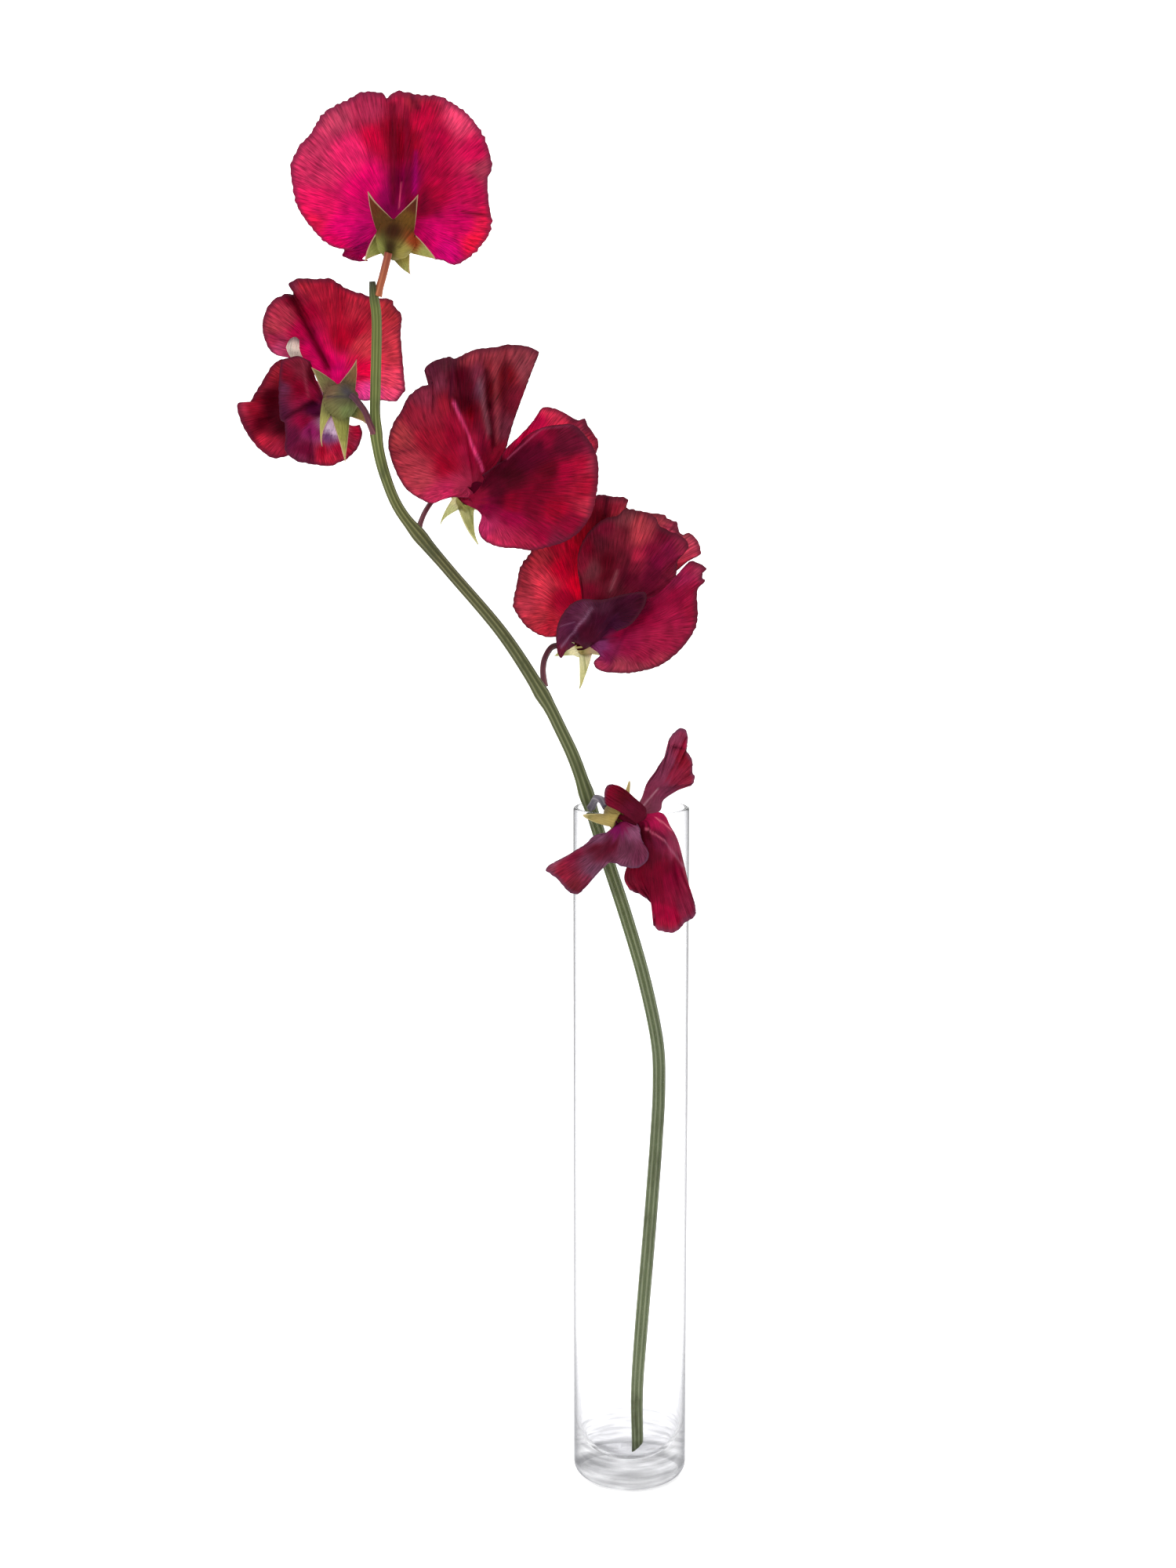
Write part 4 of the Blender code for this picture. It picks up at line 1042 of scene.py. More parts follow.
# %% Grow the top blossom
orange_stalk = plant_finish("pedicel_orange", "6A2E20", glow=0.15)
olive_calyx = calyx_finish("calyx_olive", "3A3010", "C8A888")
magenta_petal = petal_finish("petal_magenta", "8A1038", "7A2848", count=44, strength=0.55, edge=0.7)
grow(
    "top",
    "f1",
    (-50.8, 0.0, 266.3),
    dict(
        tones=[(0.0, "9C5434", "C88058"), (1.0, "7A3424", "A85C40")],
        route=[
            (-2.3, 0.1, -8.9), (-1.8, 0.0, -7.0), (-1.2, -0.1, -5.0), (-0.5, -0.5, -2.4), (0.1, -0.6, -0.1),
        ],
        radius=0.8,
    ),
    dict(
        base=(0.2, -0.6, 0.2), mouth=(1.7, 3.5, 2.9), radius=4.1, up=(0.0, -0.3, 0.95),
        tips=[(6.3, 3.0, 11.7), (9.8, 4.2, -1.4), (4.6, 6.2, -4.5), (-4.8, 4.6, -1.8), (-4.0, 3.0, 12.3)],
        spots=[
            (1.2, 4.0, "38180C"), (0.4, 1.0, "2C180C"), (-1.4, 6.5, "583818"), (4.4, 6.5, "68461A"),
            (-3.2, 9.5, "64301A"), (5.8, 9.5, "582418"), (5.2, 2.6, "983C1C"), (-1.6, 0.4, "8C9048"),
            (-3.8, -1.0, "A8A860"), (7.4, 0.4, "A0A058"), (4.6, -2.6, "A8A860"), (3.4, 0.2, "9C9048"),
        ],
        lines=[((2.4, 1.0), (5.0, 5.0), 0.25, "2E200A", 0.6)],
    ),
    top_petals,
    dict(
        stalk=("pedicel_orange", orange_stalk),
        calyx=("calyx_olive", olive_calyx),
        petals=("petal_magenta", magenta_petal),
    ),
)

# %% [markdown]
# ## Left blossom
# It is turned away to the left. The standard stands up behind the stem with one deep fold, the near wing
# is rolled like a scroll, and the tip of the pale keel shows between them.

# %% Left blossom's petals
left_petals = dict(
    standard=dict(
        ribs=[
            [(0.2, -1.3, 0.8), (0.65, -1.1, 1.0), (1.1, -0.9, 0.8)],
            [(-1.7, 1.7, 0.4), (-1.0, 1.9, 0.6), (-0.3, 2.2, 0.4)],
            [(-2.4, 4.6, 2.4), (-1.2, 4.8, 2.8), (0.2, 5.0, 2.4)],
            [
                (-2.2, 4.8, 2.6), (-4.2, 5.0, 5.4), (-6.0, 5.3, 8.6), (-6.5, 5.2, 11.0), (-5.0, 6.4, 14.5),
                (-1.0, 6.6, 13.0), (3.0, 6.6, 11.0), (5.5, 6.4, 7.0), (3.8, 6.2, 2.0), (1.4, 5.6, 1.6),
            ],
            [
                (-2.8, 4.8, 1.6), (-4.8, 5.0, 3.4), (-7.6, 5.2, 6.0), (-9.8, 5.1, 7.6),
                (-11.3, 5.0, 8.2), (-12.9, 4.3, 8.3), (-14.6, 3.6, 8.9), (-15.7, 3.0, 10.4),
                (-16.5, 2.6, 12.8),
                (-16.6, 2.8, 15.1), (-15.8, 3.0, 17.7), (-14.3, 3.8, 19.7), (-11.8, 4.6, 20.9),
                (-10.0, 6.2, 20.9), (-10.4, 5.2, 22.0), (-11.0, 4.6, 23.0), (-9.0, 5.4, 24.1),
                (-5.3, 7.0, 24.0), (-2.3, 7.6, 24.1), (-0.7, 8.0, 23.1), (1.6, 8.0, 21.8), (3.9, 8.0, 21.1),
                (6.5, 7.8, 20.3), (10.4, 7.4, 19.8), (10.8, 7.0, 18.6), (12.4, 6.2, 16.6),
                (12.2, 5.6, 12.9),
                (12.5, 5.2, 8.1), (12.9, 4.8, 3.0), (13.0, 4.6, 1.2), (12.0, 4.6, 0.0), (11.0, 4.6, -1.1),
                (8.2, 5.2, -0.9), (3.6, 6.2, -0.8), (1.6, 5.6, 0.6),
            ],
        ],
        spots=[
            (-8.4, 22.5, "B4283C"), (-4.4, 21.0, "B41E3C"), (-7.2, 16.8, "A00032"), (-1.5, 18.3, "B01434"),
            (4.2, 18.3, "B82840"), (0.0, 12.6, "BC0030"), (2.8, 12.6, "B40A34"), (4.8, 10.4, "CC4050"),
            (4.8, 5.6, "E00050"), (5.4, 0.0, "F05CB0"), (10.0, 18.3, "C03A44"), (10.5, 9.8, "D04456"),
            (10.0, 2.8, "EC5878"), (10.0, -0.3, "F06090"), (-1.5, 4.7, "E0007A"), (-3.2, 5.6, "D8006A"),
            (-6.6, 9.8, "D00064"), (-9.0, 14.0, "C00050"), (-11.5, 16.8, "B43850"), (-14.7, 18.3, "B03450"),
            (-15.0, 14.0, "C04458"), (-14.4, 11.8, "BC3058"), (-13.0, 9.6, "CC5080"),
            (-10.1, 19.9, "900830"),
            (-10.0, 22.4, "8A3048"),
        ],
        # These strokes are painted shade down the deep fold and in the two smaller creases.
        lines=[
            ((-10.6, 20.6), (-3.2, 6.1), 0.85, "6E001C", 0.85),
            ((-15.6, 12.6), (-12.0, 11.6), 0.5, "7A0C38", 0.6),
            ((-1.0, 22.8), (-1.6, 12.0), 0.4, "8A0C28", 0.5),
        ],
        creases=[
            ((-10.4, 21.0), (-2.7, 6.0), 0.9, 1.6), ((-0.9, 23.2), (-1.4, 8.0), 0.9, -0.6),
            ((-15.8, 12.6), (-11.6, 11.6), 0.8, -0.8), ((7.0, 19.8), (4.0, 6.0), 1.2, 0.5),
        ],
        rows=60, columns=220, ruffle=0.35, frill=0.1, seed=21,
    ),
    wing_left=dict(
        ribs=[
            [(-0.2, -2.0, -1.1), (-0.35, -1.9, -0.6), (-0.4, -1.7, -0.1)],
            [(-2.4, 0.4, -2.4), (-2.6, 0.5, -1.7), (-2.6, 0.6, -1.0)],
            [(-1.6, 4.6, -4.0), (-2.6, 4.4, -3.2), (-3.2, 4.2, -2.0)],
            [
                (1.5, 5.4, -6.0), (-1.0, 5.2, -9.0), (-5.0, 3.8, -9.5), (-8.5, 1.0, -7.0),
                (-9.0, 0.2, -1.0),
                (-8.0, 1.0, 4.0), (-5.4, 3.4, 2.6),
            ],
            [
                (3.4, 5.6, -5.9), (3.9, 5.4, -7.6), (3.4, 5.4, -9.6), (2.6, 5.2, -11.1), (0.6, 5.0, -13.0),
                (-1.2, 4.6, -13.8), (-2.9, 4.0, -14.5), (-5.5, 3.0, -14.3), (-8.0, 1.4, -13.9),
                (-10.1, 0.3, -13.4), (-12.3, -1.0, -11.4), (-12.2, -1.6, -8.5), (-12.4, -2.0, -5.5),
                (-13.3, -1.4, -4.6), (-13.5, -1.2, 0.0), (-13.3, -0.8, 4.0), (-12.7, 0.4, 7.2),
                (-11.0, 1.2, 7.9), (-9.0, 1.8, 8.2), (-6.8, 3.0, 7.0),
            ],
        ],
        # Dark patches inside the roll are painted shade; the mauve-grey and near-white patches are painted
        # sheen where the rolled surface faces the front light.
        spots=[
            (-13.2, 1.4, "682848"), (-13.0, -3.0, "5E1C40"), (-11.5, 4.2, "8A0828"), (-9.5, 1.4, "96002C"),
            (-8.4, 6.3, "9C3048"), (-6.2, 5.6, "600018"), (-7.2, 0.0, "B01448"), (-6.1, -2.3, "5A0A3C"),
            (-8.9, -5.4, "A00440"), (-10.7, -8.5, "6E1440"), (-8.4, -11.3, "7E0C3C"),
            (-10.0, -13.2, "8A2C54"),
            (-4.4, -11.3, "C00C38"), (-2.9, -13.6, "CC2848"), (1.4, -11.3, "B82044"), (3.1, -7.1, "C01848"),
            (3.0, -10.4, "A02C50"), (-3.0, -7.0, "E8D8E8"), (-3.2, -8.8, "8C5090"), (-6.4, -7.1, "A0206C"),
            (-1.0, -10.6, "B81040"),
        ],
        # The dark strokes are painted shade in the roll's folds; the lilac strokes are painted sheen.
        lines=[
            ((-6.4, -13.8), (-7.2, -7.0), 0.25, "5A1038", 0.6),
            ((-8.4, 6.4), (-7.4, 0.0), 0.35, "B04860", 0.5),
            ((-12.2, -4.4), (-6.5, -1.2), 0.5, "40061C", 0.7),
            ((-4.6, -8.0), (-1.2, -8.2), 0.12, "6A3A78", 0.6),
            ((-4.4, -7.2), (-1.2, -7.0), 0.1, "8A6A98", 0.5),
        ],
        creases=[
            ((-13.0, -4.6), (-6.0, -1.4), 0.8, 1.2), ((-6.8, -13.8), (-7.0, -6.0), 0.8, 0.8),
            ((-10.8, 7.0), (-10.4, -4.0), 2.2, -1.8),
        ],
        rows=54, columns=170, ruffle=0.25, frill=0.06, seed=22,
    ),
    wing_right=dict(
        ribs=[
            [(1.9, -1.0, -1.1), (1.8, -0.9, -0.6), (1.75, -0.8, -0.1)],
            [(0.8, 2.1, -2.2), (0.8, 2.3, -1.5), (0.8, 2.4, -0.8)],
            [(-1.2, 8.4, -3.0), (-1.6, 8.6, -1.4), (-1.6, 8.6, 0.2)],
            [(-9.0, 12.0, -9.0), (-12.0, 12.4, -4.0), (-12.0, 12.4, 0.0), (-9.0, 12.4, 4.6)],
            [
                (-10.5, 11.0, -12.0), (-12.4, 10.6, -12.5), (-14.7, 10.0, -12.9), (-16.5, 9.8, -12.0),
                (-18.2, 9.6, -10.5), (-20.0, 9.2, -8.2), (-21.4, 9.0, -5.6), (-22.2, 9.0, -3.0),
                (-22.2, 9.2, -1.6), (-21.0, 10.2, -1.3), (-19.7, 11.0, -1.3), (-18.8, 11.2, 0.1),
                (-17.3, 11.6, 2.4), (-15.9, 11.8, 4.7), (-14.4, 12.0, 6.7), (-12.6, 12.2, 7.6),
                (-11.0, 12.4, 7.4),
            ],
        ],
        spots=[
            (-15.0, 5.6, "B43044"), (-17.2, 2.0, "A02840"), (-15.4, 0.0, "5C001A"), (-15.0, -4.3, "500016"),
            (-18.7, -2.6, "B41838"), (-21.5, -2.3, "C03858"), (-20.7, -6.0, "A02040"),
            (-17.4, -9.6, "CC2C4C"),
            (-14.4, -12.2, "AC2848"), (-12.4, -5.7, "440012"), (-17.5, -5.5, "740824"),
        ],
        creases=[((-12.0, 2.0), (-18.0, -9.0), 2.0, 1.2), ((-19.7, -1.3), (-14.0, -3.0), 1.0, -0.9)],
        rows=50, columns=140, ruffle=0.3, frill=0.08, seed=23,
    ),
    keel=dict(
        ribs=[
            [(1.3, -1.5, -1.25), (0.9, -1.7, -1.45), (0.5, -1.8, -1.25)],
            [(-0.2, 1.4, -2.4), (-0.65, 1.1, -2.8), (-1.1, 1.0, -2.4)],
            [(-1.4, 6.4, -0.6), (-1.8, 6.6, -1.4), (-2.3, 6.2, -0.4)],
            [(-6.2, 5.6, 4.0), (-7.4, 5.4, 2.2), (-7.6, 4.4, 4.2)],
            [(-8.8, 3.4, 9.0), (-10.2, 2.9, 8.0), (-11.6, 2.4, 9.4)],
            [(-9.0, 2.8, 11.6), (-10.0, 2.5, 12.2), (-11.0, 2.3, 11.6)],
        ],
        spots=[
            (-10.2, 9.8, "FFF8EC"), (-10.0, 11.6, "F8E0D8"), (-7.0, 4.0, "D898A8"), (-2.0, -1.0, "D8A8B8"),
        ],
        rows=30, columns=40, ruffle=0.1, frill=0.04, seed=24,
    ),
)

# %% Grow the left blossom
MAROON_TONES = [(0.0, "5A2C34", "8C5458"), (0.5, "4A1828", "783840"), (1.0, "3C1C2C", "5C3440")]
maroon_stalk = plant_finish("pedicel_maroon", "30101C", glow=0.06)
crimson_petal = petal_finish("petal_crimson", "6E0A28", "5A2038", count=36, strength=0.5, edge=0.7)
grow(
    "left",
    "f2",
    (-60.6, 0.0, 236.9),
    dict(
        tones=MAROON_TONES,
        route=[
            (6.3, -0.6, -7.6), (5.4, -1.9, -5.6), (4.5, -2.9, -3.2), (2.9, -3.6, -1.0), (1.7, -3.0, 0.2),
        ],
        radius=0.65,
    ),
    dict(
        base=(1.5, -2.8, 0.3), mouth=(-0.8, 1.5, -1.2), radius=3.6, up=(-0.1, 0.25, 0.95),
        tips=[(2.9, 3.6, 7.6), (4.7, 2.6, -5.8), (0.2, 0.4, -13.6), (-4.6, -1.0, -10.4), (-6.6, 1.6, 5.9)],
        spots=[
            (1.3, 0.6, "46404C"), (0.4, -0.8, "5E5A3C"), (-2.6, 1.0, "786048"), (-5.4, 3.6, "80784C"),
            (2.6, 4.2, "906C48"), (2.4, 1.4, "6E6444"), (1.0, -3.0, "6E7A48"), (0.6, -7.5, "98984E"),
            (0.2, -12.0, "B0AA60"), (-3.4, -5.4, "A8A45C"), (-4.2, -9.4, "B8AE64"), (4.2, -4.2, "A89058"),
            (-2.2, -3.0, "6C6840"),
        ],
        lines=[
            ((0.8, -3.4), (0.4, -11.0), 0.22, "5E6430", 0.6),
            ((-3.0, -0.2), (2.4, -0.4), 0.3, "3E3440", 0.6),
        ],
    ),
    left_petals,
    dict(
        stalk=("pedicel_maroon", maroon_stalk),
        calyx=("calyx_olive", olive_calyx),
        petals=("petal_crimson", crimson_petal),
    ),
)

# %% [markdown]
# ## Middle blossom
# It faces right. The standard's left half is a flat brick-red lobe, and its right half is pleated like a
# fan that stands up at the back, with painted shade in its folds and painted highlights on its ridges. The
# two wings open like a shell, with painted shade dark in the throat, and bright at the margin.

# %% Middle blossom's petals
middle_petals = dict(
    standard=dict(
        ribs=[
            [(-0.8, 6.0, 1.8), (-0.35, 6.2, 1.9), (0.1, 6.5, 1.8)],
            [(0.8, 3.6, 1.0), (1.4, 3.9, 1.3), (2.0, 4.2, 1.1)],
            [(0.6, 1.4, 1.6), (1.8, 1.6, 2.3), (3.0, 1.6, 2.0)],
            [
                (2.4, 1.4, 0.2), (-0.8, 0.8, 0.2), (-3.0, 0.6, 0.8), (-6.0, 0.8, 2.6), (-8.0, 1.2, 9.0),
                (-4.5, 1.2, 16.0), (-1.0, 0.2, 16.5),
                (1.0, 2.8, 17.0), (4.0, 2.2, 17.0), (7.0, 3.0, 16.5), (8.6, 2.8, 12.0),
                (6.8, 2.2, 7.0), (5.4, 1.6, 2.8),
            ],
            [
                (2.8, 1.4, -0.4), (-0.2, 0.7, -0.5), (-2.5, 0.4, -0.3), (-5.1, 0.4, -1.0),
                (-7.0, 0.4, -1.7), (-9.7, 0.5, -0.5), (-12.0, 0.6, 1.1),
                (-13.6, 1.0, 3.4), (-14.8, 1.4, 6.0), (-15.6, 1.6, 8.6), (-15.9, 1.8, 10.9),
                (-15.5, 1.8, 13.2), (-14.5, 1.8, 15.5), (-13.0, 1.6, 17.7), (-11.7, 1.4, 20.3),
                (-9.4, 1.2, 22.3), (-6.7, 1.0, 23.4), (-7.4, 1.8, 24.8), (-8.1, 2.4, 26.0),
                (-7.1, 2.8, 27.3),
                (-4.8, 3.4, 28.3), (-2.7, 2.0, 28.7), (-1.9, 0.6, 28.3), (-0.2, 2.4, 29.0),
                (1.6, 3.4, 29.9),
                (3.5, 4.2, 30.4), (6.8, 4.8, 30.7), (9.1, 4.8, 31.2), (11.4, 4.6, 31.1), (13.6, 4.0, 30.8),
                (15.6, 3.2, 29.9), (15.9, 3.2, 29.5), (15.5, 3.2, 28.6), (12.7, 3.0, 21.5),
                (10.7, 2.7, 16.1),
                (9.7, 2.6, 12.8), (8.9, 2.5, 10.0), (7.2, 2.2, 6.0), (5.8, 1.6, 2.4),
            ],
        ],
        # The dark maroon patches on the pleated right half are painted shade.
        spots=[
            (-14.0, 12.5, "B04048"), (-10.3, 16.9, "982038"), (-8.7, 20.8, "8C2C44"),
            (-5.0, 24.0, "803048"),
            (-11.9, 6.3, "B43C4C"), (-7.2, 11.0, "A01430"), (-8.7, 3.2, "B44050"), (-4.0, 6.3, "A00028"),
            (-6.2, 0.0, "C0305C"), (-3.8, 0.5, "D02C64"), (-1.0, 1.6, "B02C50"), (-1.9, 11.9, "900028"),
            (-3.1, 18.8, "A01C34"), (-6.4, 26.2, "702840"), (-3.8, 27.6, "6C2C3C"), (0.6, 29.1, "B44452"),
            (-1.0, 25.0, "64001C"), (0.6, 22.4, "6C0A24"), (3.1, 25.0, "843048"), (3.4, 21.9, "703850"),
            (1.4, 17.2, "880018"), (-0.4, 19.4, "5C0018"), (-0.6, 15.6, "A00C34"), (2.0, 11.9, "A81840"),
            (2.4, 9.4, "A41040"), (6.2, 26.5, "94303C"), (6.2, 21.9, "64000C"), (7.8, 29.7, "9C3C48"),
            (9.0, 25.0, "780818"), (11.5, 29.7, "A04450"), (13.0, 26.5, "984450"), (11.0, 20.0, "801830"),
            (8.4, 14.0, "7C3044"), (6.9, 9.4, "900C2C"), (4.6, 8.0, "800024"),
        ],
        # Dark strokes are painted shade in the pleats' folds; the pale strokes are painted highlights and
        # sheen on their ridges and along the front lobe's edge.
        lines=[
            ((0.6, 26.5), (4.4, 9.5), 1.1, "56001A", 0.55),
            ((-2.0, 29.0), (-0.6, 20.0), 0.3, "38000E", 0.6),
            ((4.8, 26.0), (6.0, 9.0), 0.35, "34000C", 0.65),
            ((6.8, 28.0), (7.0, 11.0), 0.55, "B44E58", 0.35),
            ((8.8, 26.0), (7.8, 11.0), 0.35, "50081C", 0.45),
            ((4.0, 25.0), (5.0, 12.0), 0.4, "8C4050", 0.4),
            ((-2.0, 19.4), (4.0, 5.2), 0.28, "F05090", 0.85),
            ((4.9, 25.5), (5.5, 18.5), 0.55, "50000E", 0.8),
            ((5.5, 18.5), (6.5, 10.5), 0.5, "5A0018", 0.8),
            ((-2.1, 27.5), (-2.5, 20.5), 0.4, "4C0E28", 0.7),
            ((8.8, 30.4), (9.3, 18.0), 0.45, "640C1C", 0.6),
            ((-15.4, 9.0), (-11.0, 9.4), 0.3, "7C1C34", 0.6),
            ((3.4, 24.0), (5.2, 13.0), 0.5, "88606C", 0.45),
        ],
        creases=[
            ((-2.1, 28.4), (-2.4, 20.0), 0.6, -1.1), ((-2.4, 20.0), (3.8, 5.4), 0.7, -1.2),
            ((5.0, 27.0), (5.5, 18.5), 0.8, 1.2), ((5.5, 18.5), (6.6, 10.5), 0.8, 1.0),
            ((0.2, 28.0), (0.6, 17.0), 0.9, 1.0), ((8.9, 31.0), (9.3, 16.0), 0.9, 0.9),
            ((-15.6, 9.0), (-10.5, 9.5), 0.8, 0.5), ((-6.6, 23.4), (-2.4, 28.0), 0.9, 0.6),
        ],
        rows=60, columns=240, ruffle=0.3, frill=0.09, seed=31,
    ),
    wing_left=dict(
        ribs=[
            [(0.1, 7.4, 0.0), (0.2, 7.3, 0.4), (0.2, 7.2, 0.9)],
            [(2.4, 5.7, -1.2), (2.5, 5.6, -0.6), (2.5, 5.5, 0.0)],
            [(4.2, 1.0, -1.0), (4.6, 1.0, 0.6), (4.6, 1.0, 2.0)],
            [(5.4, 0.7, -1.8), (10.0, -0.6, -3.0), (13.0, -0.8, 3.0), (11.0, 0.4, 8.5), (6.6, 0.9, 4.8)],
            [
                (5.6, 0.6, -2.6), (11.0, -1.2, -6.5), (18.0, -3.0, -6.0), (24.0, -5.0, -1.0),
                (26.5, -6.0, 6.0),
                (28.3, -6.4, 10.4), (27.3, -6.2, 12.8), (26.0, -5.8, 14.6), (25.4, -5.4, 16.0),
                (24.0, -4.8, 15.6), (22.1, -4.0, 16.6), (20.1, -3.0, 17.7), (18.1, -2.2, 18.3),
                (16.5, -1.5, 18.2), (15.5, -1.0, 16.7), (13.8, -0.4, 14.5), (11.2, 0.3, 11.9),
                (8.8, 0.9, 9.6),
                (6.4, 1.0, 5.6),
            ],
        ],
        # The dark patches near the claw are painted shade in the throat.
        spots=[
            (17.8, 17.2, "E03C60"), (16.2, 15.0, "C80850"), (13.0, 12.2, "D00850"), (10.0, 9.4, "A00838"),
            (20.9, 15.8, "DC3C60"), (23.7, 15.0, "A83050"), (27.0, 11.5, "D84060"), (25.4, 14.6, "A03854"),
            (14.0, 2.0, "500014"), (7.0, 5.0, "40000E"), (5.4, 2.6, "3C0010"),
        ],
        creases=[((18.0, 18.0), (11.0, 8.0), 1.2, 0.4)],
        ruffle=0.25, frill=0.08, seed=32,
    ),
    wing_right=dict(
        ribs=[
            [(-1.7, 6.1, 0.0), (-1.6, 6.0, 0.4), (-1.5, 5.9, 0.9)],
            [(-0.6, 3.4, -1.2), (-0.6, 3.3, -0.6), (-0.5, 3.2, 0.0)],
            [(2.0, 0.0, -2.6), (1.8, -0.2, -1.2), (2.2, -0.2, 0.4)],
            [
                (2.4, -0.5, -1.8), (4.6, -2.4, -5.0), (9.0, -6.0, -5.5), (14.0, -8.6, 1.0),
                (13.0, -7.8, 7.0),
                (7.6, -3.9, 5.4), (4.2, -1.2, 3.2),
            ],
            [
                (0.9, 0.0, -0.7), (2.3, -0.4, -1.8), (3.7, -0.9, -3.1), (3.9, -1.0, -4.5),
                (3.0, -1.3, -6.7), (3.5, -1.6, -8.7), (5.1, -2.3, -10.0),
                (7.8, -3.4, -10.9), (11.0, -4.7, -11.1), (14.3, -6.3, -11.5), (18.5, -8.1, -10.6),
                (21.8, -10.1, -9.4), (24.5, -11.7, -7.4), (26.5, -13.3, -4.5), (27.5, -14.3, -1.5),
                (28.1, -14.6, 1.8), (28.3, -14.6, 5.0), (28.1, -14.2, 7.6), (27.3, -13.5, 9.8),
                (26.0, -12.6, 11.8), (23.2, -10.9, 14.6), (19.3, -8.8, 14.6), (16.4, -7.3, 14.0),
                (13.1, -5.4, 12.2), (9.4, -3.6, 8.0),
                (6.4, -2.2, 6.0), (3.8, -0.9, 4.2),
            ],
        ],
        # The dark patches near the claw and across the throat are painted shade.
        spots=[
            (3.7, 3.2, "50001A"), (5.3, 5.7, "4A0014"), (10.0, 4.7, "400010"), (13.0, 7.2, "560020"),
            (16.2, 9.4, "600024"), (17.8, 11.9, "8C0430"), (16.2, 13.3, "980434"), (21.0, 10.6, "600826"),
            (22.5, 13.1, "7C1434"), (24.0, 11.0, "6A0C2C"), (26.2, 10.6, "8C1A3C"), (16.2, 1.6, "800024"),
            (17.8, 4.7, "640018"), (20.9, 4.7, "A80034"), (24.0, 6.3, "AE0834"), (27.4, 6.3, "A82C48"),
            (25.6, 1.6, "B01034"), (27.1, -1.5, "D03450"), (10.0, -1.5, "940028"), (14.7, -1.5, "7C0024"),
            (19.3, -3.0, "B0002C"), (22.5, -6.2, "900430"), (16.2, -7.7, "980034"), (10.0, -4.6, "A00040"),
            (5.3, -3.0, "880038"), (4.4, -6.2, "C03068"), (6.9, -9.3, "C8305C"), (13.0, -10.5, "B42048"),
            (19.3, -9.9, "8C1C40"), (7.4, 0.2, "54001C"), (3.1, 0.0, "A01038"), (8.5, 7.0, "54001C"),
        ],
        lines=[
            ((9.2, 7.6), (16.4, 13.8), 0.2, "C04870", 0.6),
            ((16.4, 13.8), (23.0, 14.6), 0.2, "C04870", 0.6),
        ],
        creases=[((4.5, -1.0), (17.0, 3.0), 1.6, 0.7), ((22.0, 12.5), (27.0, 10.5), 1.2, 0.5)],
        rows=60, columns=200, ruffle=0.25, frill=0.07, seed=33,
    ),
    keel=dict(
        ribs=[
            [(-1.3, 6.6, -0.3), (-0.9, 6.9, -0.5), (-0.5, 7.1, -0.3)],
            [(0.2, 4.5, -1.6), (0.6, 4.8, -2.0), (1.0, 5.1, -1.6)],
            [(2.2, 0.8, 2.8), (3.2, 0.3, -1.8), (4.4, 0.9, 2.4)],
            [(8.0, -3.2, 1.6), (8.5, -2.8, -2.9), (9.0, -2.2, 1.6)],
            [(12.5, -3.8, 6.3), (13.6, -3.6, 4.8), (13.2, -3.2, 6.3)],
        ],
        spots=[(6.0, 0.0, "5A0020"), (12.0, 5.0, "6A0A30")],
        rows=30, columns=40, ruffle=0.1, frill=0.04, seed=34,
    ),
)

# %% Grow the middle blossom
pale_calyx = calyx_finish("calyx_pale", "7A8440", "D8D4A0", glow=0.4)
brick_petal = petal_finish("petal_brick", "6A1030", "5A2034", count=34, strength=0.45, edge=0.7)
grow(
    "middle",
    "f3",
    (-35.4, 0.0, 216.3),
    dict(
        tones=MAROON_TONES,
        route=[
            (-9.7, 0.2, -7.6), (-9.2, 1.0, -5.6), (-8.0, 2.6, -3.0), (-6.0, 5.2, -0.4), (-3.6, 7.4, 1.0),
            (-1.6, 7.7, 1.25),
        ],
        radius=0.55,
    ),
    dict(
        base=(-1.4, 7.6, 1.2), mouth=(1.0, 4.4, -0.3), radius=3.4, up=(0.1, -0.1, 0.97),
        tips=[(-3.4, 7.4, 7.0), (-5.1, 5.4, -6.2), (2.9, 2.2, -10.3), (4.4, 2.6, -3.6), (3.6, 6.6, 7.4)],
        spots=[
            (-1.0, -1.0, "E0D8A8"), (-3.4, -3.8, "C8C890"), (-4.8, -5.8, "B8B470"), (1.0, -3.0, "D8D8A0"),
            (2.0, -6.5, "C0C080"), (2.8, -9.6, "C8C890"), (3.6, -2.6, "B0A878"), (0.0, 2.0, "707838"),
        ],
        lines=[
            ((-0.6, -2.0), (-4.6, -5.6), 0.2, "7E8844", 0.6),
            ((0.6, -3.0), (2.6, -9.0), 0.2, "7E8844", 0.6),
        ],
    ),
    middle_petals,
    dict(
        stalk=("pedicel_maroon", maroon_stalk),
        calyx=("calyx_pale", pale_calyx),
        petals=("petal_brick", brick_petal),
    ),
)
